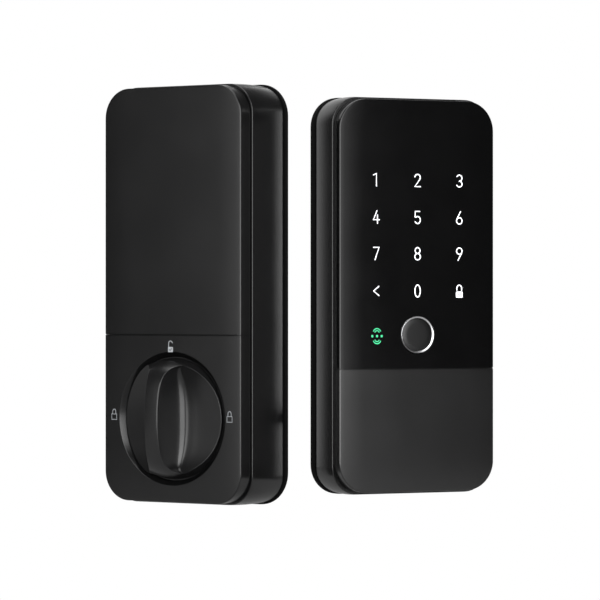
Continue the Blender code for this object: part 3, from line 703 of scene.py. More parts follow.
def finish_tree(tree, given, result, made):
    """Ends a tree: its instances become a mesh, smooth and in the given material."""
    plain = added(tree, "GeometryNodeRealizeInstances", {"Geometry": made})
    smooth = added(tree, "GeometryNodeSetShadeSmooth", {"Geometry": plain.outputs["Geometry"]})
    inputs = {"Geometry": smooth.outputs["Geometry"], "Material": given["Finish"]}
    coat = added(tree, "GeometryNodeSetMaterial", inputs)
    fed(tree, result, {"Geometry": coat.outputs["Geometry"]})
    return tree


def grown(name, guide, tree, home, values):
    """Runs a tree on a guide mesh in its module's frame, and puts the result in place."""
    piece = placed(name, guide)
    maker = piece.modifiers.new(tree.name, "NODES")
    maker.node_group = tree
    for socket in tree.interface.items_tree:
        if socket.in_out == "INPUT" and socket.name in values:
            maker[socket.identifier] = values[socket.name]
    settled(piece)
    piece.data.transform(home)
    piece.data.set_sharp_from_angle(angle=math.radians(40.0))
    return piece


def stroke_tree():
    """Turns each line of the guide into a flat printed stroke with round ends and corners."""
    tree, given, result = new_tree("printed_stroke", {"Width": STROKE, "Flatness": 0.12})
    halving = added(tree, "ShaderNodeMath", {0: given["Width"], 1: 0.5}, operation="MULTIPLY")
    half = halving.outputs["Value"]
    line = added(tree, "GeometryNodeMeshToCurve", {"Mesh": given["Geometry"]})
    section = added(tree, "GeometryNodeCurvePrimitiveCircle", {"Resolution": 12, "Radius": half})
    path = {"Curve": line.outputs["Curve"], "Profile Curve": section.outputs["Curve"], "Fill Caps": True}
    sweep = added(tree, "GeometryNodeCurveToMesh", path)
    ball = added(tree, "GeometryNodeMeshIcoSphere", {"Subdivisions": 2, "Radius": half})
    corner_inputs = {"Points": given["Geometry"], "Instance": ball.outputs["Mesh"]}
    corners = added(tree, "GeometryNodeInstanceOnPoints", corner_inputs)
    both = added(tree, "GeometryNodeJoinGeometry")
    for part in (sweep.outputs["Mesh"], corners.outputs["Instances"]):
        fed(tree, both, {"Geometry": part})
    scale = added(tree, "ShaderNodeCombineXYZ", {"X": 1.0, "Y": 1.0, "Z": given["Flatness"]})
    flat_inputs = {"Geometry": both.outputs["Geometry"], "Scale": scale.outputs["Vector"]}
    flat = added(tree, "GeometryNodeTransform", flat_inputs)
    return finish_tree(tree, given, result, flat.outputs["Geometry"])


def lines(name, strokes):
    """A guide mesh of open lines of points. A line that ends where it starts is closed."""
    points, edges = [], []
    for stroke in strokes:
        closed = math.dist(stroke[0], stroke[-1]) < 1e-6
        start, count = len(points), len(stroke) - closed
        points += [(x, y, 0.0) for x, y in stroke[:count]]
        edges += [(start + i, start + i + 1) for i in range(count - 1)]
        if closed:
            edges.append((start + count - 1, start))
    mesh = bpy.data.meshes.new(name)
    mesh.from_pydata(points, edges, [])
    return mesh


def bow(x, y, wide, high, start, end, steps=14):
    """Points along an oval arc between two angles, in degrees."""
    turns = [math.radians(start + (end - start) * step / steps) for step in range(steps + 1)]
    return [(x + wide * math.cos(turn), y + high * math.sin(turn)) for turn in turns]


def loop(x, y, wide, high, steps=24):
    points = bow(x, y, wide, high, 0.0, 360.0, steps)
    return [*points[:-1], points[0]]


NUMERALS = {
    "1": [[(-1.15, 1.85), (0.05, 2.35), (0.05, -2.3)]],
    "2": [[*bow(0.0, 1.12, 1.18, 1.2, 170.0, -30.0), (-1.15, -2.3), (1.25, -2.3)]],
    "3": [bow(0.0, 1.15, 1.15, 1.15, 150.0, -90.0), bow(0.0, -1.1, 1.2, 1.1, 90.0, -155.0)],
    "4": [[(0.25, 2.35), (-1.25, -1.0), (1.3, -1.0)], [(0.5, 0.75), (0.5, -2.35)]],
    "5": [[(0.95, 2.3), (-1.0, 2.3), (-1.1, 0.25), *bow(0.0, -0.95, 1.2, 1.35, 128.0, -150.0)]],
    "6": [[(0.55, 2.4), (-0.95, -0.25)], loop(0.0, -1.1, 1.2, 1.2)],
    "7": [[(-1.2, 2.3), (1.15, 2.3), (-0.55, -2.35)]],
    "8": [loop(0.0, 1.2, 1.05, 1.1), loop(0.0, -1.1, 1.2, 1.2)],
    "9": [loop(0.0, 1.1, 1.2, 1.2), [(0.95, 0.25), (-0.55, -2.4)]],
    "<": [[(1.1, 1.75), (-1.15, 0.0), (1.1, -1.75)]],
    "0": [loop(0.0, 0.0, 1.15, 2.3)],
}


def moved(strokes, x, y):
    return [[(x + px, y + py) for px, py in stroke] for stroke in strokes]


def glowing_ink(name, tone, glow):
    """Print that glows, a little unevenly, as a light guide does. Behind the keypad window a lamp lights
    it; on the fascia, with no lamp behind it, the glow is painted light.
    """
    material, tree, shader = principled(name)
    uneven = grouped(tree, GRAIN, Grain=2500.0, Drift=160.0)
    dim = tuple(0.86 * part for part in tone)
    shine = blended(tree, uneven["Mottle"], dim, tone)
    looks = {
        "Base Color": shine,
        "Emission Color": shine,
        "Emission Strength": glow,
        "Roughness": between(tree, uneven["Height"], 0.4, 0.55),
        "Normal": relief(tree, uneven["Height"], 1e-6),
    }
    fed(tree, shader, looks)
    return material


PRINT = stroke_tree()
white_ink = glowing_ink("white_ink", (0.95, 0.96, 1.0), 1.0)
green_ink = glowing_ink("green_ink", (0.04, 0.5, 0.22), 0.9)
grey_ink = glowing_ink("grey_ink", (0.05, 0.05, 0.055), 0.1)


def printed(name, strokes, face, body, width, ink):
    """Prints strokes on a face and fixes them to its body."""
    values = {"Width": width, "Finish": ink}
    fit(grown(name, lines(name, strokes), PRINT, face, values), body, "white_plastic")


def printed_block(name, x, y, wide, high, face, body, ink):
    """Prints the filled body of a padlock on a face."""

    def rim(inset):
        return outline(x - wide / 2, y - high / 2, x + wide / 2, y + high / 2, (0.35,) * 4, inset, 6)

    fit(flat_piece(name, rim, [], 0.0, PRINT_THICK, face, ink, 0.01), body, "white_plastic")


def raised(face, height):
    """A face moved out of the door by a height."""
    return face @ Matrix.Translation((0.0, 0.0, height))


glass_face = raised(EXTERIOR, glass_high.z + 0.01)
keys = [(x, y) for y in KEY_ROWS for x in KEY_COLUMNS]
strokes = []
for (x, y), figure in zip(keys, NUMERALS):
    strokes += moved(NUMERALS[figure], x, y)
printed("keypad_numerals", strokes, glass_face, "exterior", STROKE, white_ink)
lock_x, lock_y = keys[-1]
body_y = lock_y - 1.35
shackle = [[(-1.05, 0.3), *bow(0.0, 1.1, 1.05, 1.15, 180.0, 0.0, 10), (1.05, 0.3)]]
tick = [[(-0.5, 0.05), (-0.1, -0.35), (0.6, 0.35)]]
printed("lock_key_shackle", moved(shackle, lock_x, lock_y), glass_face, "exterior", STROKE, white_ink)
printed_block("lock_key_body", lock_x, body_y, 2.9, 2.3, glass_face, "exterior", white_ink)
above_print = raised(glass_face, PRINT_THICK)
printed("lock_key_tick", moved(tick, lock_x, body_y), above_print, "exterior", 0.42, grey_ink)
RANGING_MARK = (-17.4, 31.3)
waves = [bow(0.0, 0.9, 1.75 - gap, 1.95 - gap, 150.0, 30.0) for gap in (0.0, 0.75)]
waves += [[(x, -y) for x, y in wave] for wave in waves]
waves += [loop(x, 0.0, 0.3, 0.3, 10) for x in (-2.0, 0.0, 2.0)]
printed("ranging_mark", moved(waves, *RANGING_MARK), glass_face, "exterior", 0.36, green_ink)

# Fingerprint sensor: a black ceramic disc in a turned metal ring, set in the window's bore. The
# ring's face slopes inwards, so that it catches the light on one side.
RING_HIGH = 22.34
SENSOR_RADIUS = 6.15


def turned(name, profile, home, material, place=(0.0, 0.0), steps=96):
    """A profile of (radius, height) pairs turned about Z. A pair on the axis closes an end, and
    a profile with none is a ring."""
    shape = bmesh.new()
    radii = [(radius, z) for radius, z in profile if radius > 0]
    made = loft(shape, [[(*point, z) for point in circle(*place, radius, steps)] for radius, z in radii])
    if profile[0][0] == 0:
        fill(shape, made[0])
    if profile[-1][0] == 0:
        fill(shape, made[-1])
    if profile[0][0] > 0 and profile[-1][0] > 0:
        for i in range(steps):
            j = (i + 1) % steps
            shape.faces.new((made[-1][i], made[-1][j], made[0][j], made[0][i]))
    return placed(name, as_mesh(name, shape, home, material))


def drawn_lines():
    """The fine lines that a tool or a brush leaves, close together across the lines."""
    group, given, result = new_group(
        "drawn_lines",
        {"Across X": 300.0, "Across Y": 300.0, "Across Z": 6000.0},
        {"Height": "NodeSocketFloat"},
    )
    place = added(group, "ShaderNodeTexCoord").outputs["Object"]
    across = {axis: given.outputs["Across " + axis] for axis in "XYZ"}
    stretch = added(group, "ShaderNodeCombineXYZ", across).outputs["Vector"]
    times = added(group, "ShaderNodeVectorMath", {0: place, 1: stretch}, operation="MULTIPLY")
    grain = {"Vector": times.outputs["Vector"], "Scale": 1.0, "Detail": 3.0}
    fine = added(group, "ShaderNodeTexNoise", grain)
    fed(group, result, {"Height": fine.outputs["Fac"]})
    return group


DRAWN = drawn_lines()


def bright_metal(name, dark, pale, rough, across=(300.0, 300.0, 6000.0)):
    """Bare metal with drawn or turned lines, uneven in tone where it has tarnished."""
    material, tree, shader = principled(name, 1.0)
    lines_across = {"Across " + axis: value for axis, value in zip("XYZ", across)}
    drawn = grouped(tree, DRAWN, **lines_across)
    tarnish = grouped(tree, GRAIN, Grain=900.0, Drift=120.0)
    looks = {
        "Base Color": blended(tree, tarnish["Mottle"], dark, pale),
        "Roughness": between(tree, drawn["Height"], rough - 0.08, rough + 0.08),
        "Normal": relief(tree, drawn["Height"], 1.5e-6),
    }
    fed(tree, shader, looks)
    return material


ring_steel = bright_metal("ring_steel", (0.5, 0.5, 0.51), (0.62, 0.62, 0.63), 0.22)
ring_foot = span("fingerprint_ring", EXTERIOR)[0].z
ring = [(6.3, ring_foot), (6.3, RING_HIGH - 0.2), (6.36, RING_HIGH - 0.13), (6.86, RING_HIGH)]
ring += [(6.93, RING_HIGH - 0.03), (6.95, RING_HIGH - 0.1), (6.95, ring_foot)]
sensor_ring = turned("sensor_ring", ring, EXTERIOR, ring_steel, (0.0, sensor_y))
fit(sensor_ring, "exterior", "ring_metal", "fingerprint_ring")
sensor_black = moulded("sensor_ceramic", (0.002, 0.002, 0.0021), (0.003, 0.003, 0.0031), 0.28, 1e-6)
sensor_low, sensor_high = span("fingerprint_sensor", EXTERIOR)
disc_top = sensor_high.z + 0.15
crown = [(SENSOR_RADIUS * i / 6, disc_top - 0.06 * (i / 6) ** 2) for i in range(6)]
edge = [(SENSOR_RADIUS, disc_top - 0.2), (SENSOR_RADIUS, sensor_low.z), (0.0, sensor_low.z)]
disc = turned("sensor_disc", [*crown, *edge], EXTERIOR, sensor_black, (0.0, sensor_y))
fit(disc, "exterior", "sensor_black", "fingerprint_sensor")

# Battery cover and fascia of the interior module: satin black mouldings. The fascia has the
# dish that the thumbturn sits in.
INTERIOR_CORNER = 11.4
INTERIOR_FRONT_CORNER = 11.2
DISH_RADIUS = 25.2
DISH_LIP = 0.25
DISH_FLOOR_RADIUS = 23.6
DISH_FLOOR = 26.3
DISH_THICK = 1.7
SHAFT_HOLE = 7.3
satin_black = moulded("satin_black", (0.003, 0.003, 0.0031), (0.0042, 0.0042, 0.0043), 0.25, 4e-6)
BACK = ("fascia", "battery_cover", INTERIOR, INTERIOR_FRONT_CORNER)
inner = INTERIOR_FRONT_CORNER - COVER_WALL
fascia_low, fascia_high = span("fascia", INTERIOR)
lid = front_half("battery_lid", "battery_cover", fascia_low.z, *BACK, satin_black)
hollow_corners = (JOINT_CORNER, JOINT_CORNER, inner, inner)
drilled(lid, cavity("battery_cover", INTERIOR, hollow_corners, COVER_WALL, COVER_WALL, 6.0))
fit(even_shading(lid), "battery_cover", "cover_black", "battery_cover")

front = fascia_high.z
fascia = front_half("thumbturn_fascia", "fascia", fascia_low.z, *BACK, satin_black)
rim = [
    (DISH_RADIUS + DISH_LIP * (1 - math.sin(turn)), front - DISH_LIP * (1 - math.cos(turn)))
    for turn in (math.radians(54.0 * step / 4) for step in range(5))
]
dish = [(0.0, front + 2), (DISH_RADIUS + DISH_LIP, front + 2), *rim]
dish += [(DISH_FLOOR_RADIUS, DISH_FLOOR + 0.2), (DISH_FLOOR_RADIUS - 0.2, DISH_FLOOR), (0.0, DISH_FLOOR)]
hollow_corners = (inner, inner, JOINT_CORNER, JOINT_CORNER)
hollow = cavity("fascia", INTERIOR, hollow_corners, COVER_WALL, front - DISH_FLOOR + DISH_THICK)
bowl = turned("cutter", dish, INTERIOR, None, steps=160)
drilled(fascia, hollow, bowl, drill(0.0, 0.0, SHAFT_HOLE, 20.0, 30.0, INTERIOR, 64))
fit(even_shading(fascia), "interior", "cover_black", "fascia")
tongue = joint_tongue("fascia_joint_tongue", *BACK[:2], fascia_low.z, INTERIOR, satin_black)
fit(tongue, "interior", "cover_black")

# Position marks: padlocks in grey ink, pad-printed on the fascia round the thumbturn. They show
# where it locks, to the left and right, and where it opens, at the top.
MARK_STROKE = 0.32
OPEN_MARK = (-0.6, 27.4)
OPEN_BODY = (OPEN_MARK[0], OPEN_MARK[1] - 1.25)
CLOSED_MARKS = ((-27.9, 1.2), (27.4, 1.2))
# The pale and dim grey marks glow though no lamp lies behind the fascia: painted light that brightens
# the printed ink.
pale_print_painted_glow = glowing_ink("pale_print_painted_glow", (0.24, 0.25, 0.26), 0.6)
dim_print_painted_glow = glowing_ink("dim_print_painted_glow", (0.2, 0.21, 0.22), 0.5)
black_print = glowing_ink("black_print", (0.01, 0.01, 0.01), 0.0)
fascia_face = raised(INTERIOR, front + 0.01)
above_print = raised(fascia_face, PRINT_THICK)
shackle = moved([[(-0.9, -0.3), *bow(0.0, 1.0, 0.9, 1.0, 180.0, 15.0, 10)]], *OPEN_MARK)
tick = moved([[(-0.55, 0.0), (-0.15, -0.4), (0.6, 0.4)]], *OPEN_BODY)
printed("open_mark_shackle", shackle, fascia_face, "interior", MARK_STROKE, pale_print_painted_glow)
printed_block("open_mark_body", *OPEN_BODY, 2.4, 2.0, fascia_face, "interior", pale_print_painted_glow)
printed("open_mark_tick", tick, above_print, "interior", 0.3, black_print)
body = [(-1.2, -2.0), (1.2, -2.0), (1.2, 0.1), (-1.2, 0.1), (-1.2, -2.0)]
bow_over = [(-0.75, 0.1), *bow(0.0, 1.1, 0.75, 0.85, 180.0, 0.0, 10), (0.75, 0.1)]
closed = [stroke for place in CLOSED_MARKS for stroke in moved([body, bow_over], *place)]
printed("closed_marks", closed, fascia_face, "interior", MARK_STROKE, dim_print_painted_glow)

# Thumbturn: a moulded knob with a domed blade between two finger scoops. It is a coarse cage of
# rows across the blade, closer at its edges, and a subdivision surface smooths it.
KNOB_CREST = 13.0  # above the fascia
KNOB_END_HIGH = 3.61
KNOB_END_RADIUS = 22.1
BLADE_END = 20.3
BLADE_HALF = 3.0
BLADE_BULGE = 1.8
BLADE_EDGE = 0.35
KNOB_FOOT = (23.2, 26.8)
FOOT_SLOPE = 0.211
BLADE_ROWS = (0.0, 0.2, 0.4, 0.56, 0.7, 0.8, 0.88, 0.94, 0.98, 1.0)
SCOOP_STEPS = (
    (0.006, 0.95),
    (0.032, 0.7),
    (0.056, 0.42),
    (0.072, 0.25),
    (0.086, 0.18),
    (0.102, 0.14),
    (0.125, 0.1),
    (0.148, 0.068),
    (0.172, 0.044),
    (0.2, 0.028),
    (0.25, 0.016),
    (0.42, 0.006),
    (0.66, 0.002),
    (0.9, 0.0),
    (0.985, 0.0),
    (1.0, 0.0),
)  # across the scoop and up it: a steep wall, a fillet and an almost flat floor


def blade_half_width(y):
    end = abs(y) / BLADE_END
    return BLADE_HALF + 0.5 * end**2 + 5.2 * (1.0 - math.sqrt(max(0.0, 1.0 - end**10)))


def dome(x, y):
    """A point on the knob's dome, which is flat on top and falls away fast at the ends."""
    out = (x * x + y * y) / KNOB_END_RADIUS**2
    drop = (KNOB_CREST - KNOB_END_HIGH) * (0.3 * out + 0.7 * out**3)
    return (x, y, front + KNOB_CREST - drop)


def scoop_point(y, across, up):
    """A point of the right scoop, which runs from the blade's edge out to the knob's rim."""
    edge, _, high = dome(blade_half_width(y), y)
    end = abs(y) / BLADE_END
    rim_high = front - 1.0 + (KNOB_END_HIGH + 1.0) * end**3.5
    rim = math.sqrt((KNOB_FOOT[0] - FOOT_SLOPE * (rim_high - KNOB_FOOT[1])) ** 2 - y * y)
    return (edge + across * (rim - edge), y, rim_high + up * (high - rim_high))


def knob_row(along):
    """The points of one row, from the left rim over the blade to the right rim."""
    y = BLADE_END * math.sin(math.pi / 2 * along)
    half = blade_half_width(y)
    lip = 1.0 - BLADE_EDGE / half
    blade = []
    for share in (-1.0, -lip, -0.5, 0.0, 0.5, lip, 1.0):
        bulge = BLADE_BULGE * along**3 * (1.0 - share**2)
        blade.append(dome(half * share, y + bulge))
    if abs(along) == 1.0:
        tips = len(SCOOP_STEPS)
        return [blade[0]] * tips + blade + [blade[-1]] * tips
    right = [scoop_point(y, across, up) for across, up in SCOOP_STEPS]
    left = [(-x, y, z) for x, y, z in reversed(right)]
    return [*left, *blade, *right]


def knob_cage(name, material):
    shape = bmesh.new()
    rows = []
    for along in (*[-along for along in reversed(BLADE_ROWS[1:])], *BLADE_ROWS):
        row = knob_row(along)
        corners = {point: shape.verts.new(point) for point in dict.fromkeys(row)}
        rows.append([corners[point] for point in row])
    for low, high in zip(rows, rows[1:]):
        for j in range(len(low) - 1):
            corners = dict.fromkeys((low[j], low[j + 1], high[j + 1], high[j]))
            if len(corners) > 2:
                shape.faces.new(corners)
    edge = [row[-1] for row in rows] + rows[-1][::-1] + [row[0] for row in reversed(rows)] + rows[0]
    edge = list(dict.fromkeys(edge))
    foot_radius, foot = KNOB_FOOT
    rings = [edge]
    for share in (0.15, 0.5, 0.85, 1.0):
        ring = []
        for vertex in edge:
            x, y, z = vertex.co
            radius = math.hypot(x, y)
            grow = (radius + (foot_radius - radius) * share) / radius
            ring.append(shape.verts.new((x * grow, y * grow, z + (foot - z) * share)))
        rings.append(ring)
    under = [(0.985 * vertex.co.x, 0.985 * vertex.co.y, foot - 0.1) for vertex in rings[-1]]
    rings.append([shape.verts.new(point) for point in under])
    for low, high in zip(rings, rings[1:]):
        for i in range(len(edge)):
            j = (i + 1) % len(edge)
            shape.faces.new((low[i], low[j], high[j], high[i]))
    shape.faces.new(rings[-1])
    knob = placed(name, as_mesh(name, shape, INTERIOR, material, 180.0))
    smooth = knob.modifiers.new("smooth", "SUBSURF")
    smooth.levels = smooth.render_levels = 2
    return settled(knob)


knob_black = moulded("knob_black", (0.005, 0.005, 0.0051), (0.007, 0.007, 0.0072), 0.26, 3e-6)
fit(knob_cage("thumbturn", knob_black), "thumbturn", "knob_black", "thumbturn_knob")

# Casing of the interior module: the same black tray, with a wall across it between the gearbox
# and the battery bay. Its skirt hides the mounting plate.
INTERIOR_WALL = 2.2
INTERIOR_FLOOR = 2.0
SKIRT = 1.9
SHAFT_OPENING = 7.0
CABLE_SLOT = ((-6.5, 26.0), (6.5, 33.0))
BAY_WALL = (36.0, 37.8)
BAY_WALL_TOP = 21.5
WIRE_GAP = (16.0, 22.0)
interior_shell = casing(
    "interior_housing", INTERIOR, INTERIOR_CORNER, INTERIOR_WALL, INTERIOR_FLOOR, SKIRT
)
shell_low, shell_high = span("interior_housing", INTERIOR)
through = (shell_low.z - 2, shell_low.z + 5, INTERIOR)
holes = [drill(0.0, 0.0, SHAFT_OPENING, *through, 64)]
slot_box = [(*corner, z) for corner, z in zip(CABLE_SLOT, through)]
holes.append(bars("cutter", [slot_box], INTERIOR, None))
INTERIOR_SCREWS = [f"plate_screw_{number}" for number in range(1, 5)]
for node in INTERIOR_SCREWS:
    spot = middle(node, INTERIOR)
    holes.append(drill(spot.x, spot.y, SCREW_HOLE, *through, 24))
drilled(interior_shell, *holes)
fit(even_shading(interior_shell), "interior", "casing_black", "interior_housing")
side = shell_high.x - INTERIOR_WALL + 0.1
floor = shell_low.z + INTERIOR_FLOOR - 0.1
bay_boxes = [
    ((left, BAY_WALL[0], floor), (right, BAY_WALL[1], BAY_WALL_TOP))
    for left, right in ((-side, WIRE_GAP[0]), (WIRE_GAP[1], side))
]
fit(bars("battery_bay_wall", bay_boxes, INTERIOR, casing_black), "interior", "casing_black")

# Mounting plate and gasket of the interior module: a pressed steel plate that bolts through the
# door, in a foam gasket whose lip wraps round the plate's edge.
PLATE_INSET = 2.6
PLATE_BORE = 14.0
BOLT_X = 20.0
BOLT_HOLE = 2.3
PLATE_SCREW_HOLE = 1.5
CABLE_WINDOW = (-8.0, 25.0, 8.0, 34.0)
SEAL_PROUD = 0.9
SEAL_WALL = 2.2
SEAL_OPENING = (-25.0, -17.0, 25.0, 37.0)
steel = bright_metal("drawn_steel", (0.36, 0.36, 0.37), (0.5, 0.5, 0.51), 0.32)
zinc = bright_metal("zinc_plate", (0.3, 0.31, 0.32), (0.46, 0.47, 0.48), 0.4, (900.0, 900.0, 900.0))
brass = bright_metal("turned_brass", (0.5, 0.34, 0.12), (0.68, 0.5, 0.22), 0.3)
plate_low, plate_high = span("mounting_plate", INTERIOR)


def plate_rim(inset):
    edges = (plate_low.x, plate_low.y, plate_high.x, plate_high.y)
    return outline(*edges, (INTERIOR_CORNER,) * 4, inset + PLATE_INSET)


plate_holes = [circle(0.0, 0.0, PLATE_BORE, 64), outline(*CABLE_WINDOW, (1.5,) * 4, 0.0, 6)]
plate_holes += [circle(bolt, 0.0, BOLT_HOLE, 32) for bolt in (-BOLT_X, BOLT_X)]
for node in INTERIOR_SCREWS:
    spot = middle(node, INTERIOR)
    plate_holes.append(circle(spot.x, spot.y, PLATE_SCREW_HOLE, 24))
plate = flat_piece(
    "steel_mounting_plate", plate_rim, plate_holes, plate_low.z, plate_high.z, INTERIOR, zinc
)
fit(plate, "interior", "plate_steel", "mounting_plate")
seal_low, seal_high = span("interior_gasket", INTERIOR)
lip = shell_low.z - SKIRT - 0.3
seal = walled_tray(
    seal_low,
    seal_high,
    INTERIOR_CORNER,
    [*eased(0.2, -SEAL_PROUD, seal_low.z, up=False), *eased(0.2, -SEAL_PROUD, lip)],
    [(SEAL_WALL, seal_high.z), (SEAL_WALL, lip)],
    INTERIOR,
    "interior_foam_gasket",
    rubber_foam,
)
opening = outline(*SEAL_OPENING, (8.0,) * 4, 0.0, 8)
drilled(seal, cutter(opening, seal_low.z - 1, seal_high.z + 1, INTERIOR))
fit(seal, "interior", "rubber", "interior_gasket")

# Screws: zinc-plated pan heads with a cross recess and a raised thread. Those of the exterior
# casing are driven from the door side, those of the interior casing from the front.
CROSS_RECESS = ((0.55, 3.0, 1.6), (3.0, 0.55, 1.6))


def screw_tree():
    """Puts a cross-head screw on each point of the guide, its head towards +Z."""
    tree, given, result = new_tree(
        "cross_screw", {"Head Radius": 2.6, "Head Height": 1.4, "Shank Radius": 1.1, "Shank": 4.0}
    )

    def times(label, factor):
        """One of the screw's own sizes, multiplied."""
        inputs = {0: given[label], 1: factor}
        return added(tree, "ShaderNodeMath", inputs, operation="MULTIPLY").outputs["Value"]

    def shifted(geometry, height):
        along = added(tree, "ShaderNodeCombineXYZ", {"Z": height})
        inputs = {"Geometry": geometry, "Translation": along.outputs["Vector"]}
        return added(tree, "GeometryNodeTransform", inputs).outputs["Geometry"]

    cone = {
        "Vertices": 32,
        "Radius Top": times("Head Radius", 0.82),
        "Radius Bottom": given["Head Radius"],
        "Depth": given["Head Height"],
    }
    head = added(tree, "GeometryNodeMeshCone", cone)
    recess = added(tree, "GeometryNodeMeshBoolean", operation="DIFFERENCE")
    fed(tree, recess, {"Mesh 1": head.outputs["Mesh"]})
    for size in CROSS_RECESS:
        slot = added(tree, "GeometryNodeMeshCube", {"Size": size})
        fed(tree, recess, {"Mesh 2": shifted(slot.outputs["Mesh"], given["Head Height"])})
    rod = {"Vertices": 24, "Radius": given["Shank Radius"], "Depth": given["Shank"]}
    shank = added(tree, "GeometryNodeMeshCylinder", rod)
    coil = {
        "Resolution": 16,
        "Rotations": times("Shank", 1.6),
        "Start Radius": given["Shank Radius"],
        "End Radius": given["Shank Radius"],
        "Height": times("Shank", 0.9),
    }
    thread = added(tree, "GeometryNodeCurveSpiral", coil)
    wire = added(tree, "GeometryNodeCurvePrimitiveCircle", {"Resolution": 5, "Radius": 0.14})
    path = {"Curve": thread.outputs["Curve"], "Profile Curve": wire.outputs["Curve"], "Fill Caps": True}
    ridge = added(tree, "GeometryNodeCurveToMesh", path)
    both = added(tree, "GeometryNodeJoinGeometry")
    fed(tree, both, {"Geometry": recess.outputs["Mesh"]})
    fed(tree, both, {"Geometry": shifted(shank.outputs["Mesh"], times("Shank", -0.5))})
    fed(tree, both, {"Geometry": shifted(ridge.outputs["Mesh"], times("Shank", -0.97))})
    spots = {"Points": given["Geometry"], "Instance": both.outputs["Geometry"]}
    spread = added(tree, "GeometryNodeInstanceOnPoints", spots)
    return finish_tree(tree, given, result, spread.outputs["Instances"])


SCREW = screw_tree()


def screws(name, nodes, home, faces_door, head_height):
    """Screws that stand for the given nodes, with their heads on the side that they show."""
    low, high = span(nodes[0], home)
    spots = [middle(node, home) for node in nodes]
    turn = Matrix.Rotation(math.pi, 4, "X") if faces_door else Matrix.Identity(4)
    level = low.z + head_height / 2 if faces_door else high.z - head_height / 2
    guide = bpy.data.meshes.new(name)
    flip = -1.0 if faces_door else 1.0
    guide.from_pydata([(spot.x, flip * spot.y, 0.0) for spot in spots], [], [])
    shank = high.z - low.z - head_height / 2
    sizes = {"Head Height": head_height, "Shank": shank, "Finish": zinc}
    return grown(name, guide, SCREW, raised(home, level) @ turn, sizes)


back_screws = screws("casing_screws", EXTERIOR_SCREWS, EXTERIOR, True, 1.1)
fit(back_screws, "exterior", "steel", *EXTERIOR_SCREWS)
front_screws = screws("plate_screws", INTERIOR_SCREWS, INTERIOR, False, 1.5)
fit(front_screws, "interior", "steel", *INTERIOR_SCREWS)

# Battery pack: cells in a heat-shrunk sleeve of matt film, finely wrinkled, with soft edges. It
# lies loose in its bay, under the battery cover.
PACK_CORNER = 3.0
PACK_EDGE = 2.4
pack_low, pack_high = span("battery_pack", INTERIOR)


def shrunk_sleeve(name):
    """Matt blue-grey plastic film, pulled tight, with fine wrinkles."""
    material, tree, shader = principled(name, 0.0, 0.4)
    wrinkle = grouped(tree, DRAWN, **{"Across Z": 500.0})
    drift = grouped(tree, GRAIN, Grain=3000.0, Drift=60.0)
    looks = {
        "Base Color": blended(tree, drift["Mottle"], (0.012, 0.014, 0.018), (0.03, 0.034, 0.042)),
        "Roughness": between(tree, drift["Height"], 0.32, 0.48),
        "Normal": relief(tree, wrinkle["Height"], 2e-5),
    }
    fed(tree, shader, looks)
    return material


def pack_rim(inset):
    return outline(pack_low.x, pack_low.y, pack_high.x, pack_high.y, (PACK_CORNER,) * 4, inset)


sleeve = shrunk_sleeve("shrunk_sleeve")
pack = flat_piece("battery_sleeve", pack_rim, [], pack_low.z, pack_high.z, INTERIOR, sleeve, PACK_EDGE)
fit(even_shading(pack), "interior", "battery", "battery_pack")

# Setup button: a small moulded cap of white plastic with a domed top. It sits over its switch,
# under the battery cover.
white_plastic = moulded("white_plastic", (0.55, 0.55, 0.53), (0.66, 0.66, 0.64), 0.42, 3e-6)
button_low, button_high = span("setup_button", INTERIOR)
button_spot = middle("setup_button", INTERIOR)
radius = button_high.x - button_spot.x
cap = [(radius * 0.8 * i / 5, button_high.z - 0.15 * (i / 5) ** 2) for i in range(6)]
cap += [(radius - 0.08, button_high.z - 0.3), (radius, button_high.z - 0.5)]
cap += [(radius, button_low.z), (0.0, button_low.z)]
button = turned("setup_cap", cap, INTERIOR, white_plastic, (button_spot.x, button_spot.y), 48)
fit(button, "setup_button", "white_plastic", "setup_button")

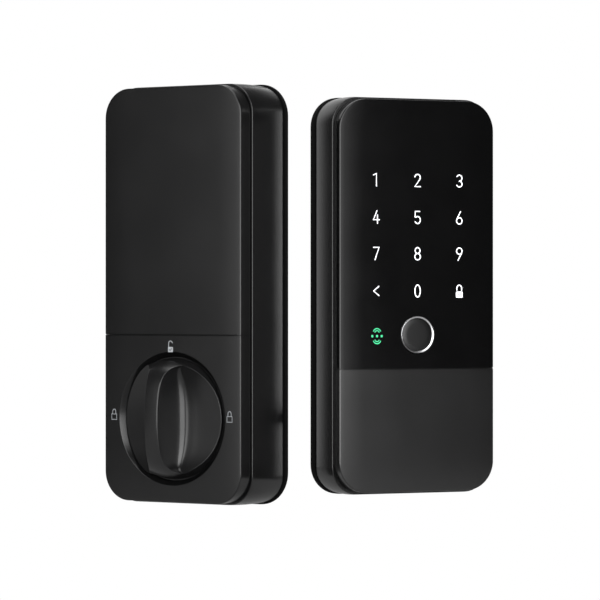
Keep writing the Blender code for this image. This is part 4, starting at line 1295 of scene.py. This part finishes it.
# Parts that keep their own shape: circuit boards, gears, shafts, the key cylinder and the small
# parts on the boards. Each gets the finish of what it is made of.
TIN = (0.6, 0.6, 0.58, 1.0)


def solder_mask(name, dark, pale):
    """A printed circuit board: dark lacquer over copper, with rows of tinned pads."""
    material, tree, shader = principled(name)
    place = added(tree, "ShaderNodeTexCoord").outputs["Object"]
    spacing = {"Scale": 420.0, "Randomness": 0.6, "Vector": place}
    pads = added(tree, "ShaderNodeTexVoronoi", spacing, distance="CHEBYCHEV")
    limits = {"From Min": 0.16, "From Max": 0.2, "To Min": 1.0, "To Max": 0.0}
    limits["Value"] = pads.outputs["Distance"]
    near = added(tree, "ShaderNodeMapRange", limits).outputs["Result"]
    drift = grouped(tree, GRAIN, Grain=1800.0, Drift=350.0)
    ends = {"Factor": near, "A": blended(tree, drift["Mottle"], dark, pale), "B": TIN}
    looks = {
        "Base Color": added(tree, "ShaderNodeMix", ends, data_type="RGBA").outputs["Result"],
        "Metallic": near,
        "Roughness": between(tree, drift["Height"], 0.3, 0.42),
        "Normal": relief(tree, near, 2e-5),
    }
    fed(tree, shader, looks)
    return material


board_lacquer = solder_mask("board_lacquer", (0.004, 0.03, 0.012), (0.008, 0.05, 0.02))
nylon = moulded("nylon", (0.5, 0.48, 0.42), (0.62, 0.6, 0.54), 0.45, 4e-6)
ribbon = moulded("ribbon", (0.35, 0.02, 0.015), (0.5, 0.035, 0.025), 0.6, 2e-5)
FINISHES = {
    casing_black: "keyway_plate keypad_frame gearbox_cover",
    board_lacquer: "keypad_circuit_board ranging_antenna interior_circuit_board",
    white_plastic: "light_guide board_connector cable_socket",
    steel: "wireless_module speaker control_module setup_switch buzzer motor gear_axle_1 gear_axle_2 "
    "thumbturn_shaft mounting_post_left mounting_post_right tailpiece usb_port cylinder_body",
    zinc: "gearbox_base",
    brass: "key_plug battery_contacts",
    rubber_foam: "cable_grommet",
    nylon: "output_gear second_gear first_gear motor_pinion thumbturn_bushing",
    ribbon: "battery_pull_tab",
}
for finish, nodes in FINISHES.items():
    for node in nodes.split():
        mesh = frame["nodes"][node].data
        mesh.materials.clear()
        mesh.materials.append(finish)
